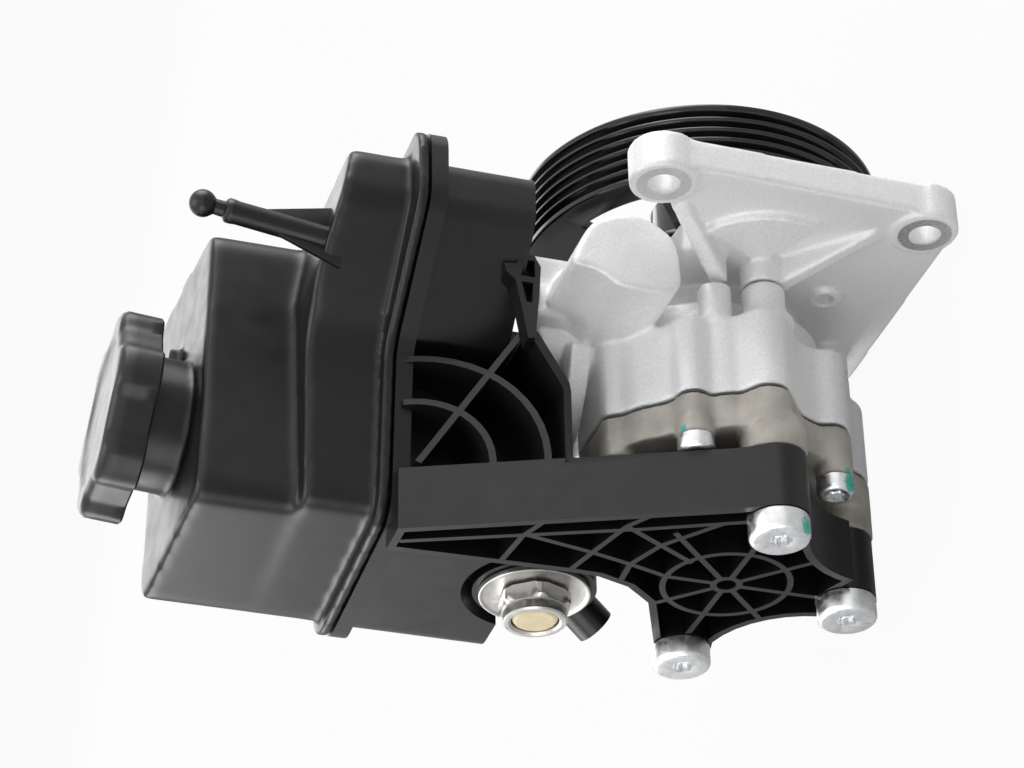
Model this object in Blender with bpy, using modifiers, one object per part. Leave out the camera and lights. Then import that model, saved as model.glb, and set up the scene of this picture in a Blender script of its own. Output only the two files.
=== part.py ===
"""Power steering pump with its oil reservoir, as a bench assembly.

The pump axis is the Y axis. The shaft nose is at the origin and faces +Y, the belt pulley
sits behind it, and everything else lies towards -Y. The filler cap is up, at +Z.
A "depth" is a distance behind the shaft nose, so its Y is minus the depth.
"""
import math

import bmesh
import bpy
from mathutils import Matrix, Vector

MM = 0.001
SEAT_GAP = 0.3 * MM
RUNNING_GAP = 0.15 * MM

# Belt pulley, a spun steel cup with its web at the pump end
PULLEY_RADIUS = 54.0 * MM
PULLEY_WIDTH = 24.4 * MM
RIB_COUNT = 6
RIB_PITCH = 3.56 * MM
RIB_DEPTH = 2.6 * MM
PULLEY_RIM_WALL = 7.0 * MM
PULLEY_WEB = 3.5 * MM
PULLEY_HUB_RADIUS = 14.0 * MM
WINDOW_COUNT = 4
WINDOW_INNER = 23.0 * MM
WINDOW_ANGLE = 34.0
WINDOW_FIRST = 54.0

# Shaft
NOSE_RADIUS = 8.0 * MM
JOURNAL_RADIUS = 10.0 * MM
TAIL_RADIUS = 9.0 * MM
JOURNAL_START = 24.8 * MM
TAIL_START = 58.0 * MM
SHAFT_LENGTH = 102.0 * MM

# The three long screws that hold bracket, cover, housing and front flange together (x, z)
LONG_SCREWS = [(39.0 * MM, -2.5 * MM), (0.8 * MM, -38.3 * MM), (-39.0 * MM, -3.2 * MM)]
LONG_SHANK = 4.0 * MM
LONG_HEAD_RADIUS = 8.5 * MM
LONG_HEAD_HEIGHT = 6.4 * MM
LONG_TIP = 38.0 * MM
COLUMN_RADIUS = 7.0 * MM

# The five short screws that hold the rear cover (x, z)
COVER_SCREWS = [(23.3 * MM, -27.2 * MM), (38.4 * MM, 18.6 * MM), (12.0 * MM, 34.5 * MM),
                (-25.0 * MM, -27.0 * MM), (-30.5 * MM, 19.0 * MM)]
COVER_SHANK = 3.0 * MM
COVER_HEAD_RADIUS = 5.25 * MM
COVER_HEAD_HEIGHT = 4.9 * MM
COVER_TIP = 72.0 * MM
COVER_LOBE = 7.4 * MM
LOBE_ROOT = 0.84

# Front flange with the engine mounting bosses (x, z)
ENGINE_BOSSES = [(69.3 * MM, 37.9 * MM), (66.9 * MM, -40.8 * MM), (-52.0 * MM, -38.0 * MM)]
BOSS_RADIUS = 10.3 * MM
BOSS_HOLE = 4.6 * MM
BOSS_FRONT = 30.0 * MM
BOSS_REAR = 45.0 * MM
PLATE_FRONT = 33.5 * MM
PLATE_REAR = 44.0 * MM
HUB_FRONT = 28.0 * MM
HUB_RADIUS = 27.0 * MM
FLANGE_REAR = 53.0 * MM
SMALL_BOSS = (28.5 * MM, -26.5 * MM)
SMALL_BOSS_RADIUS = 4.9 * MM
SMALL_BOSS_HOLE = 2.6 * MM
RIB_WIDTH = 5.0 * MM
SEAL_RADIUS = 17.0 * MM
SEAL_WIDTH = 7.0 * MM
BUSH_WALL = 2.0 * MM

# Pump housing
HOUSING_FRONT = FLANGE_REAR + SEAT_GAP
FLUTES_START = 62.0 * MM
HOUSING_REAR = 89.8 * MM
HOUSING_RADIUS = 36.0 * MM
HOUSING_NECK = 33.0 * MM
HOUSING_COLUMNS = [9.3 * MM, 7.2 * MM, 9.3 * MM]
CAVITY_START = 60.0 * MM
CAVITY_RADIUS = 30.3 * MM
VALVE_BOSS = (55.0 * MM, 41.0 * MM)
VALVE_BOSS_RADIUS = 16.5 * MM
VALVE_BOSS_FACE = 48.0 * MM
VALVE_BOSS_END = -2.0 * MM
VALVE_AXIS = (6.0 * MM, 62.0 * MM)
VALVE_WALL_RADIUS = 10.5 * MM
VALVE_BORE = 7.0 * MM
VALVE_TOP = 56.2 * MM
VALVE_FLOOR = 34.5 * MM
VALVE_PLUG = 4.5 * MM
SPOOL_SPRING = 8.5 * MM
SUCTION_BOSS = (15.0 * MM, 49.0 * MM)
SUCTION_BOSS_RADIUS = 10.0 * MM
SPIGOT_AXIS = (12.6 * MM, 46.6 * MM)
SPIGOT_NOSE = 6.2 * MM
SPIGOT_BORE = 4.2 * MM
SPIGOT_SHOULDER = 60.5 * MM
SPIGOT_TIP = 66.0 * MM

# Pressure port, its arm on the housing and the union screwed in from the rear
PORT_AXIS = (-28.2 * MM, 44.9 * MM)
PORT_ARM_RADIUS = 13.0 * MM
PORT_ARM_REAR = 95.5 * MM
UNION_SHANK = 7.2 * MM
UNION_TIP = 82.0 * MM
UNION_BORE = 4.5 * MM
UNION_HEX_FLATS = 19.0 * MM
UNION_HEX_HEIGHT = 4.8 * MM
UNION_RING_RADIUS = 9.2 * MM
UNION_RING_HEIGHT = 3.4 * MM
WASHER_RADIUS = 16.0 * MM
WASHER_THICKNESS = 1.5 * MM
PLUG_RADIUS = 6.5 * MM

# Rotating group
PLATE_RADIUS = 30.0 * MM
FRONT_PLATE_WIDTH = 5.4 * MM
REAR_PLATE_WIDTH = 5.4 * MM
CAM_MAJOR = 25.6 * MM
CAM_MINOR = 24.0 * MM
ROTOR_RADIUS = 22.6 * MM
VANE_COUNT = 10
VANE_THICKNESS = 1.4 * MM
VANE_LENGTH = 8.4 * MM
VANE_TIP = 23.7 * MM
DOWEL_RADIUS = 1.5 * MM
DOWEL_CIRCLE = 27.2 * MM

# Rear cover
GASKET = 0.4 * MM
COVER_FRONT = HOUSING_REAR + GASKET + 2 * SEAT_GAP
COVER_BODY_REAR = 101.0 * MM
COVER_LOBE_REAR = 102.7 * MM
COVER_REAR = 108.2 * MM
COVER_BODY_RADIUS = 34.5 * MM
COVER_COLUMN_RADIUS = 9.2 * MM
COVER_HUB_RADIUS = 17.0 * MM
COVER_HUB_REAR = 105.5 * MM

# Reservoir outline in plan: (x, depth, corner radius)
TANK_WALL = 2.5 * MM
TANK_OUTLINE = [(34.5 * MM, 22.0 * MM, 6.0 * MM), (34.5 * MM, 39.0 * MM, 9.0 * MM),
                (3.6 * MM, 69.0 * MM, 16.0 * MM), (-1.2 * MM, 120.0 * MM, 6.0 * MM),
                (-66.0 * MM, 120.0 * MM, 7.0 * MM), (-66.0 * MM, 24.0 * MM, 12.0 * MM)]
DOME_OUTLINE = [(-6.0 * MM, 37.0 * MM, 7.0 * MM), (-6.0 * MM, 120.0 * MM, 6.0 * MM),
                (-66.0 * MM, 120.0 * MM, 7.0 * MM), (-66.0 * MM, 37.0 * MM, 10.0 * MM)]
BASE_OUTLINE = [(34.5 * MM, 22.0 * MM, 6.0 * MM), (34.5 * MM, 39.0 * MM, 9.0 * MM),
                (6.5 * MM, 66.0 * MM, 5.0 * MM), (-5.0 * MM, 72.0 * MM, 4.0 * MM),
                (-5.0 * MM, 120.0 * MM, 5.0 * MM), (-66.0 * MM, 120.0 * MM, 7.0 * MM),
                (-66.0 * MM, 24.0 * MM, 12.0 * MM)]
RIM_OVERHANG = 3.8 * MM
RIM_LOW = 92.8 * MM
SEAM = 96.0 * MM
RIM_HIGH = 99.4 * MM
TANK_TOP = 121.8 * MM
DOME_TOP = 148.5 * MM
TOP_ROUND = 4.5 * MM
BASE_FLOOR = 63.0 * MM
TANK_FLOOR = 68.5 * MM
FOOT_FLOOR = 50.0 * MM
FOOT_START = 48.0 * MM
TANK_REAR = 120.0 * MM

# Filler neck and cap lean forward, upright once the pump is on the engine
FILLER_LEAN = math.radians(4.5)
FILLER_BASE = (-34.0 * MM, 82.0 * MM)
NECK_RADIUS = 19.3 * MM
NECK_BORE = 16.4 * MM
NECK_HEIGHT = 11.0 * MM
CAP_RADIUS = 27.8 * MM
CAP_LOBE = 1.8 * MM
CAP_LOBES = 6
CAP_BOTTOM = 7.6 * MM
CAP_TOP = 23.0 * MM
CAP_WALL = 2.4 * MM
CAP_CEILING = 15.0 * MM
CAP_PLUG_RADIUS = 13.4 * MM
CAP_PLUG_DEPTH = 5.0 * MM
SEAL_RING = 1.1 * MM
DIPSTICK_WIDTH = 5.0 * MM
DIPSTICK_THICKNESS = 2.0 * MM
DIPSTICK_LENGTH = 64.0 * MM

# Ball stud for the engine cover
STUD_BASE = (20.0 * MM, 46.6 * MM, 118.0 * MM)
STUD_BALL = (20.5 * MM, 41.7 * MM, 155.4 * MM)
STUD_BALL_RADIUS = 3.9 * MM
STUD_COLLAR_RADIUS = 3.5 * MM
STUD_NECK_RADIUS = 2.3 * MM
STUD_ROOT_RADIUS = 2.9 * MM

# Ribbed bracket, moulded with the reservoir's lower half
BRACKET_FRONT = 108.5 * MM
BRACKET_REAR = 127.5 * MM
BRACKET_FLOOR = 2.4 * MM
BRACKET_RIM = 2.2 * MM
BRACKET_BOSS = 8.9 * MM
BRACKET_TOP = 95.0 * MM
LATTICE_WIDTH = 1.7 * MM
LATTICE_HUB = (0.5 * MM, -2.2 * MM)
LATTICE_RING = 18.0 * MM
LATTICE_HUB_RADIUS = 4.6 * MM
LATTICE_HOLE = 2.8 * MM
SLEEVE_RADIUS = 6.4 * MM
SLEEVE_BORE = 4.6 * MM
COLLAR_RADIUS = 17.8 * MM
COLLAR_FRONT = 96.2 * MM
COLLAR_REAR = 121.6 * MM
COLLAR_BORE = 7.8 * MM
SCOOP_RADIUS = 21.0 * MM
ARM_CLEARANCE = 15.5 * MM
NIPPLE_START = (-44.0 * MM, 102.5 * MM, 39.5 * MM)
NIPPLE_END = (-52.5 * MM, 117.0 * MM, 18.0 * MM)
NIPPLE_RADIUS = 6.0 * MM
NIPPLE_BORE = 3.8 * MM

# Gusset ribs between reservoir and bracket, arcs round the corner of the two
GUSSET_CORNER = (108.5 * MM, 92.0 * MM)
GUSSET_RADII = [36.0 * MM, 19.5 * MM]
GUSSET_RIB = 1.8 * MM
GUSSET_FLOOR = -8.0 * MM

# Filter
FILTER_CENTRE = (-36.0 * MM, 62.0 * MM)
FILTER_RADIUS = 17.0 * MM
FILTER_BORE = 9.0 * MM
FILTER_HEIGHT = 22.0 * MM
FILTER_PLEATS = 18

# Facets round a full turn: large forms, ordinary ones and small ones
WIDE = 28
SEGMENTS = 20
NARROW = 10


# Materials

def plain_material(name, colour, roughness, metallic):
    material = bpy.data.materials.new(name)
    material.use_nodes = True
    shader = material.node_tree.nodes["Principled BSDF"]
    shader.inputs["Base Color"].default_value = (*colour, 1.0)
    shader.inputs["Roughness"].default_value = roughness
    shader.inputs["Metallic"].default_value = metallic
    material.diffuse_color = (*colour, 1.0)
    return material


def satin_black(name):
    return plain_material(name, (0.018, 0.018, 0.02), 0.42, 0.0)


def cast_aluminium(name):
    return plain_material(name, (0.72, 0.72, 0.73), 0.5, 0.85)


def bright_steel(name):
    return plain_material(name, (0.66, 0.66, 0.67), 0.3, 1.0)


# Mesh tools

def link(obj, collection):
    collection.objects.link(obj)
    return obj


def from_bmesh(bm, name="shape"):
    mesh = bpy.data.meshes.new(name)
    bm.to_mesh(mesh)
    bm.free()
    return link(bpy.data.objects.new(name, mesh), WORK)


def evaluated_mesh(obj):
    graph = bpy.context.evaluated_depsgraph_get()
    graph.update()
    return bpy.data.meshes.new_from_object(obj.evaluated_get(graph), depsgraph=graph)


def discard(obj):
    data = obj.data
    bpy.data.objects.remove(obj)
    if isinstance(data, bpy.types.Curve):
        bpy.data.curves.remove(data)
    else:
        bpy.data.meshes.remove(data)


def weld(mesh):
    bm = bmesh.new()
    bm.from_mesh(mesh)
    bmesh.ops.remove_doubles(bm, verts=bm.verts, dist=0.002 * MM)
    bmesh.ops.dissolve_degenerate(bm, edges=bm.edges, dist=0.002 * MM)
    bm.to_mesh(mesh)
    bm.free()


def boolean(target, tool, operation):
    """Apply one exact Boolean to target and use the tool up."""
    modifier = target.modifiers.new(operation.lower(), "BOOLEAN")
    modifier.operation = operation
    modifier.solver = "EXACT"
    modifier.object = tool
    mesh = evaluated_mesh(target)
    target.modifiers.clear()
    old = target.data
    target.data = mesh
    bpy.data.meshes.remove(old)
    discard(tool)
    return target


def unite(target, *tools):
    for tool in tools:
        boolean(target, tool, "UNION")
    return target


def cut(target, *tools):
    for tool in tools:
        boolean(target, tool, "DIFFERENCE")
    return target


def moved(obj, matrix):
    obj.data.transform(matrix)
    return obj


def cylinder(radius, start, end, segments=SEGMENTS, end_radius=None):
    """A cylinder or cone between two points."""
    start, end = Vector(start), Vector(end)
    along = end - start
    bm = bmesh.new()
    bmesh.ops.create_cone(bm, cap_ends=True, segments=segments, radius1=radius,
                          radius2=radius if end_radius is None else end_radius, depth=along.length)
    turn = along.to_track_quat("Z", "Y").to_matrix().to_4x4()
    bm.transform(Matrix.Translation((start + end) / 2) @ turn)
    return from_bmesh(bm)


def post(radius, place, start, end, segments=SEGMENTS, end_radius=None):
    """A cylinder along the pump axis, at (x, z), between two depths."""
    return cylinder(radius, (place[0], -start, place[1]), (place[0], -end, place[1]), segments, end_radius)


def box(low, high):
    low, high = Vector(low), Vector(high)
    bm = bmesh.new()
    bmesh.ops.create_cube(bm, size=1.0)
    size = high - low
    bm.transform(Matrix.Translation((low + high) / 2) @ Matrix.Diagonal((*size, 1.0)))
    return from_bmesh(bm)


def bar(start, end, width, low, high):
    """A straight rib on the plan plane: from start to end, width across, low to high tall."""
    start, end = Vector(start), Vector(end)
    along = end - start
    bm = bmesh.new()
    bmesh.ops.create_cube(bm, size=1.0)
    bm.transform(Matrix.Diagonal((along.length, width, high - low, 1.0)))
    turn = Matrix.Rotation(math.atan2(along.y, along.x), 4, "Z")
    middle = (start + end) / 2
    bm.transform(Matrix.Translation((middle.x, middle.y, (low + high) / 2)) @ turn)
    return from_bmesh(bm)


def prism(points, low, high):
    """A flat outline in the XY plane, extruded from low to high."""
    curve = bpy.data.curves.new("outline", "CURVE")
    curve.dimensions = "2D"
    curve.fill_mode = "BOTH"
    curve.extrude = (high - low) / 2
    spline = curve.splines.new("POLY")
    spline.points.add(len(points) - 1)
    for point, (x, y) in zip(spline.points, points):
        point.co = (x, y, 0.0, 1.0)
    spline.use_cyclic_u = True
    holder = link(bpy.data.objects.new("outline", curve), WORK)
    mesh = evaluated_mesh(holder)
    discard(holder)
    weld(mesh)
    mesh.transform(Matrix.Translation((0, 0, (low + high) / 2)))
    return link(bpy.data.objects.new("prism", mesh), WORK)


def drill(target, radius, places, front, rear, segments=NARROW):
    """Round holes along the pump axis at each (x, z), run a little past both depths."""
    for place in places:
        cut(target, post(radius, place, front - 1.0 * MM, rear + 1.0 * MM, segments))


# An outline of (x, z) extruded along the pump axis: its third coordinate becomes the depth
TO_DEPTH = Matrix(((1, 0, 0, 0), (0, 0, -1, 0), (0, 1, 0, 0), (0, 0, 0, 1)))
# An outline of (y, z) extruded along X
TO_SIDE = Matrix(((0, 0, 1, 0), (1, 0, 0, 0), (0, 1, 0, 0), (0, 0, 0, 1)))


def deep_prism(points, front, rear):
    return moved(prism(points, front, rear), TO_DEPTH)


def side_prism(points, low, high):
    """An outline of (depth, z) extruded along X."""
    return moved(prism([(-depth, z) for depth, z in points], low, high), TO_SIDE)


def rounded(corners, steps=3):
    """The outline through corners (x, y, radius), each corner an arc."""
    points = []
    count = len(corners)
    for index, (x, y, radius) in enumerate(corners):
        corner = Vector((x, y))
        before = (Vector(corners[index - 1][:2]) - corner).normalized()
        after = (Vector(corners[(index + 1) % count][:2]) - corner).normalized()
        half = before.angle(after) / 2
        reach = radius / math.tan(half)
        centre = corner + (before + after).normalized() * (radius / math.sin(half))
        start = corner + before * reach - centre
        end = corner + after * reach - centre
        first = math.atan2(start.y, start.x)
        sweep = math.remainder(math.atan2(end.y, end.x) - first, 2 * math.pi)
        for step in range(steps + 1):
            angle = first + sweep * step / steps
            points.append((centre.x + radius * math.cos(angle), centre.y + radius * math.sin(angle)))
    return points


def plan(corners):
    """Turn (x, depth, radius) corners into (x, y, radius)."""
    return [(x, -depth, radius) for x, depth, radius in corners]


def offset(corners, distance):
    """Move a polygon's sides outward by distance, and its corner radii with them."""
    area = sum(a[0] * b[1] - b[0] * a[1] for a, b in zip(corners, corners[1:] + corners[:1]))
    side = 1.0 if area > 0 else -1.0
    result = []
    count = len(corners)
    for index, (x, y, radius) in enumerate(corners):
        here = Vector((x, y))
        into = (here - Vector(corners[index - 1][:2])).normalized()
        out = (Vector(corners[(index + 1) % count][:2]) - here).normalized()
        normal_in = Vector((into.y, -into.x)) * side
        normal_out = Vector((out.y, -out.x)) * side
        mitre = (normal_in + normal_out) / (1.0 + normal_in.dot(normal_out))
        turn = into.x * out.y - into.y * out.x
        grown = radius + distance if turn * side > 0 else radius - distance
        moved_corner = here + mitre * distance
        result.append((moved_corner.x, moved_corner.y, max(grown, 1.0 * MM)))
    return result


def circle_points(radius, count, centre=(0.0, 0.0)):
    angles = [2 * math.pi * index / count for index in range(count)]
    return [(centre[0] + radius * math.cos(a), centre[1] + radius * math.sin(a)) for a in angles]


def arc_band(centre, inner, outer, first, last, steps=8):
    """A closed outline of a curved band between two radii and two angles in degrees."""
    angles = [math.radians(first + (last - first) * step / steps) for step in range(steps + 1)]
    rim = [(centre[0] + outer * math.cos(a), centre[1] + outer * math.sin(a)) for a in angles]
    root = [(centre[0] + inner * math.cos(a), centre[1] + inner * math.sin(a)) for a in reversed(angles)]
    return rim + root


def bevel_top(obj, height, radius, segments=3):
    """Round the edges of the flat top at this height."""
    bm = bmesh.new()
    bm.from_mesh(obj.data)
    edges = [e for e in bm.edges if all(abs(v.co.z - height) < 0.01 * MM for v in e.verts)
             and e.is_manifold and e.calc_face_angle(0.0) > 0.5]
    bmesh.ops.bevel(bm, geom=edges, offset=radius, segments=segments, profile=0.5,
                    affect="EDGES", material=-1, clamp_overlap=True)
    bm.to_mesh(obj.data)
    bm.free()
    return obj


def lobed_block(columns, front, rear):
    """Columns (place, radius, segments) grown together, with flat ends at two depths."""
    block = None
    for index, (place, radius, segments) in enumerate(columns):
        reach = (1.0 + 0.2 * index) * MM
        column = post(radius, place, front - reach, rear + reach, segments)
        block = column if block is None else unite(block, column)
    slab = box((-0.2, -rear, -0.2), (0.2, -front, 0.2))
    return boolean(block, slab, "INTERSECT")


def turned(profile, steps=SEGMENTS, closed=False):
    """Turn a profile of (radius, height) points, listed top to bottom, about Z."""
    bm = bmesh.new()
    verts = [bm.verts.new((radius, 0.0, height)) for radius, height in profile]
    for first, second in zip(verts, verts[1:]):
        bm.edges.new((first, second))
    if closed:
        bm.edges.new((verts[-1], verts[0]))
    obj = from_bmesh(bm, "profile")
    screw = obj.modifiers.new("turn", "SCREW")
    screw.axis = "Z"
    screw.angle = 2 * math.pi
    screw.steps = steps
    screw.render_steps = steps
    screw.use_merge_vertices = True
    screw.merge_threshold = 0.01 * MM
    mesh = evaluated_mesh(obj)
    old = obj.data
    obj.modifiers.clear()
    obj.data = mesh
    bpy.data.meshes.remove(old)
    weld(obj.data)
    return obj


# Turned things stand on Z; this lays them along the pump axis, so height becomes -depth
ALONG_AXIS = Matrix.Rotation(math.radians(-90.0), 4, "X")


def turned_on_axis(profile, place=(0.0, 0.0), steps=SEGMENTS, closed=False):
    """Turn a profile of (radius, depth) points, listed front to back, about the pump axis."""
    obj = turned([(radius, -depth) for radius, depth in profile], steps, closed)
    return moved(obj, Matrix.Translation((place[0], 0.0, place[1])) @ ALONG_AXIS)


def ring(inner, outer, front, rear, place=(0.0, 0.0), steps=SEGMENTS):
    """A plain ring on the pump axis or beside it."""
    disc = post(outer, place, front, rear, steps)
    return cut(disc, post(inner, place, front - 1.0 * MM, rear + 1.0 * MM, steps))


def star_points(outer, inner, lobes):
    """The socket of a six-lobe screw head."""
    points = []
    for index in range(lobes * 2):
        radius = outer if index % 2 == 0 else inner
        angle = math.pi * index / lobes
        points.append((radius * math.cos(angle), radius * math.sin(angle)))
    return points


def shift_points(points, place):
    return [(x + place[0], y + place[1]) for x, y in points]


def finish(obj, name, material, origin=(0.0, 0.0, 0.0)):
    """Name a finished piece, set its origin and give it its material."""
    origin = Vector(origin)
    obj.data.transform(Matrix.Translation(-origin))
    obj.name = name
    obj.data.name = name
    obj.location = origin
    obj.data.materials.clear()
    obj.data.materials.append(material)
    obj.data.shade_smooth()
    obj.data.set_sharp_from_angle(angle=math.radians(32.0))
    WORK.objects.unlink(obj)
    PARTS.objects.link(obj)
    return obj


def finish_set(objects, name, material):
    """Finish like pieces, such as a set of screws, each under its own numbered name."""
    for index, obj in enumerate(objects, 1):
        finish(obj, f"{name}_{index}", material)


# Rotating group

def build_pulley():
    groove_start = (PULLEY_WIDTH - RIB_COUNT * RIB_PITCH) / 2
    profile = [(PULLEY_RADIUS - PULLEY_RIM_WALL, 0.6 * MM), (PULLEY_RADIUS - PULLEY_RIM_WALL + 0.6 * MM, 0.0),
               (PULLEY_RADIUS - 0.5 * MM, 0.0), (PULLEY_RADIUS, 0.5 * MM)]
    for index in range(RIB_COUNT):
        start = groove_start + index * RIB_PITCH
        profile.append((PULLEY_RADIUS, start + 0.35 * MM))
        profile.append((PULLEY_RADIUS - RIB_DEPTH, start + RIB_PITCH / 2))
    profile.append((PULLEY_RADIUS, PULLEY_WIDTH - groove_start - 0.35 * MM))
    profile.append((PULLEY_RADIUS, PULLEY_WIDTH - 0.5 * MM))
    profile.append((PULLEY_RADIUS - 0.5 * MM, PULLEY_WIDTH))
    bore = NOSE_RADIUS + SEAT_GAP
    web_front = PULLEY_WIDTH - PULLEY_WEB
    profile += [(bore, PULLEY_WIDTH), (bore, 1.5 * MM), (PULLEY_HUB_RADIUS, 1.5 * MM),
                (PULLEY_HUB_RADIUS, web_front - 2.0 * MM), (PULLEY_HUB_RADIUS + 2.0 * MM, web_front),
                (PULLEY_RADIUS - PULLEY_RIM_WALL - 1.5 * MM, web_front),
                (PULLEY_RADIUS - PULLEY_RIM_WALL, web_front - 1.5 * MM)]
    pulley = turned_on_axis(profile, steps=WIDE, closed=True)
    for index in range(WINDOW_COUNT):
        middle = WINDOW_FIRST + index * 360.0 / WINDOW_COUNT
        band = arc_band((0.0, 0.0), WINDOW_INNER, PULLEY_RADIUS - PULLEY_RIM_WALL - 1.6 * MM,
                        middle - WINDOW_ANGLE / 2, middle + WINDOW_ANGLE / 2, 6)
        cut(pulley, deep_prism(band, web_front - 1.0 * MM, PULLEY_WIDTH + 1.0 * MM))
    return finish(pulley, "pulley", plain_material("pulley_paint", (0.012, 0.012, 0.013), 0.2, 0.0))


def build_shaft():
    profile = [(0.0, 0.0), (NOSE_RADIUS - 0.6 * MM, 0.0), (NOSE_RADIUS, 0.6 * MM), (NOSE_RADIUS, JOURNAL_START),
               (JOURNAL_RADIUS, JOURNAL_START), (JOURNAL_RADIUS, TAIL_START), (TAIL_RADIUS, TAIL_START),
               (TAIL_RADIUS, SHAFT_LENGTH - 0.8 * MM), (TAIL_RADIUS - 0.8 * MM, SHAFT_LENGTH), (0.0, SHAFT_LENGTH)]
    return finish(turned_on_axis(profile), "drive_shaft", bright_steel("ground_steel"))


def ring_pack():
    """Depths where the front plate, cam ring and rear plate start and end."""
    front = CAVITY_START + SEAT_GAP
    cam_front = front + FRONT_PLATE_WIDTH + SEAT_GAP
    rear_end = HOUSING_REAR - SEAT_GAP
    cam_rear = rear_end - REAR_PLATE_WIDTH - SEAT_GAP
    return front, cam_front, cam_rear, rear_end


def dowel_places():
    return [(0.0, DOWEL_CIRCLE), (0.0, -DOWEL_CIRCLE)]


def build_plate(name, front, rear):
    plate = ring(JOURNAL_RADIUS + SEAT_GAP, PLATE_RADIUS, front, rear)
    for first in (30.0, 210.0):
        band = arc_band((0.0, 0.0), 16.0 * MM, 20.5 * MM, first, first + 60.0, 5)
        cut(plate, deep_prism(band, front - 1.0 * MM, rear + 1.0 * MM))
    drill(plate, DOWEL_RADIUS + SEAT_GAP, dowel_places(), front, rear, 10)
    return finish(plate, name, bright_steel(name + "_steel"))


def build_cam_ring(front, rear):
    cam = post(PLATE_RADIUS, (0.0, 0.0), front, rear)
    middle = (CAM_MAJOR + CAM_MINOR) / 2
    swing = (CAM_MAJOR - CAM_MINOR) / 2
    oval = []
    for index in range(40):
        angle = 2 * math.pi * index / 40
        radius = middle + swing * math.cos(2 * angle)
        oval.append((radius * math.cos(angle), radius * math.sin(angle)))
    cut(cam, deep_prism(oval, front - 1.0 * MM, rear + 1.0 * MM))
    drill(cam, DOWEL_RADIUS + SEAT_GAP, dowel_places(), front, rear, 10)
    return finish(cam, "cam_ring", bright_steel("hard_steel"))


def vane_angles():
    return [2 * math.pi * (index + 0.5) / VANE_COUNT for index in range(VANE_COUNT)]


def vane_box(angle, inner, outer, thickness, front, rear):
    blade = box((inner, -rear, -thickness / 2), (outer, -front, thickness / 2))
    return moved(blade, Matrix.Rotation(angle, 4, "Y"))


def build_rotor(front, rear):
    rotor = ring(TAIL_RADIUS + SEAT_GAP, ROTOR_RADIUS, front + SEAT_GAP, rear - SEAT_GAP)
    slot = VANE_THICKNESS + 2 * SEAT_GAP
    root = VANE_TIP - VANE_LENGTH - SEAT_GAP
    for angle in vane_angles():
        cut(rotor, vane_box(angle, root, CAM_MAJOR, slot, front, rear))
    return finish(rotor, "rotor", bright_steel("rotor_steel"))


def build_vanes(front, rear):
    blades = [vane_box(angle, VANE_TIP - VANE_LENGTH, VANE_TIP, VANE_THICKNESS, front + SEAT_GAP, rear - SEAT_GAP)
              for angle in vane_angles()]
    finish_set(blades, "vane", bright_steel("vane_steel"))


def build_dowels(front, rear):
    pins = [post(DOWEL_RADIUS, place, front, rear, 10) for place in dowel_places()]
    finish_set(pins, "dowel_pin", bright_steel("pin_steel"))


def build_rotating_group():
    front, cam_front, cam_rear, rear_end = ring_pack()
    build_pulley()
    build_shaft()
    build_plate("front_pressure_plate", front, front + FRONT_PLATE_WIDTH)
    build_plate("rear_pressure_plate", rear_end - REAR_PLATE_WIDTH, rear_end)
    build_cam_ring(cam_front, cam_rear)
    build_rotor(cam_front, cam_rear)
    build_vanes(cam_front, cam_rear)
    build_dowels(front, rear_end)


# Front flange

def tangent_plate():
    """The outline of the mounting plate: round the bosses, then in to the hub."""
    upper, lower, inner = ENGINE_BOSSES
    edge = BOSS_RADIUS - 1.0 * MM
    corners = [(upper[0] + edge, upper[1] + edge, 9.0 * MM), (lower[0] + edge, lower[1] - edge, 9.0 * MM),
               (-10.0 * MM, lower[1] - edge - 1.0 * MM, 20.0 * MM), (inner[0], inner[1] - edge, 8.0 * MM),
               (inner[0] - edge, inner[1], 8.0 * MM), (-40.0 * MM, 4.0 * MM, 8.0 * MM),
               (-26.0 * MM, 24.0 * MM, 10.0 * MM), (24.0 * MM, 9.0 * MM, 12.0 * MM),
               (upper[0] - 6.0 * MM, upper[1] + edge - 6.0 * MM, 6.0 * MM)]
    return rounded(corners)


def build_front_flange():
    flange = post(HUB_RADIUS, (0.0, 0.0), HUB_FRONT, FLANGE_REAR, WIDE)
    unite(flange, deep_prism(tangent_plate(), PLATE_FRONT, PLATE_REAR))
    for place in ENGINE_BOSSES:
        unite(flange, post(BOSS_RADIUS, place, BOSS_FRONT, BOSS_REAR))
    for place in LONG_SCREWS:
        unite(flange, post(COLUMN_RADIUS, place, PLATE_FRONT - 0.5 * MM, FLANGE_REAR))
    unite(flange, post(SMALL_BOSS_RADIUS, SMALL_BOSS, PLATE_FRONT + 1.0 * MM, PLATE_REAR + 1.6 * MM))
    unite(flange, *flange_ribs())
    drill(flange, BOSS_HOLE, ENGINE_BOSSES, BOSS_FRONT, BOSS_REAR, SEGMENTS)
    drill(flange, SMALL_BOSS_HOLE, [SMALL_BOSS], PLATE_FRONT, PLATE_REAR + 2.0 * MM)
    drill(flange, LONG_SHANK + SEAT_GAP, LONG_SCREWS, LONG_TIP, FLANGE_REAR)
    cut(flange, post(SEAL_RADIUS + SEAT_GAP, (0.0, 0.0), HUB_FRONT - 1.0 * MM, HUB_FRONT + SEAL_WIDTH + 1.0 * MM))
    bush_outer = JOURNAL_RADIUS + RUNNING_GAP + BUSH_WALL + SEAT_GAP
    cut(flange, post(bush_outer, (0.0, 0.0), HUB_FRONT, FLANGE_REAR + 1.0 * MM))
    return finish(flange, "front_flange", cast_aluminium("flange_casting"))


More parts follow.
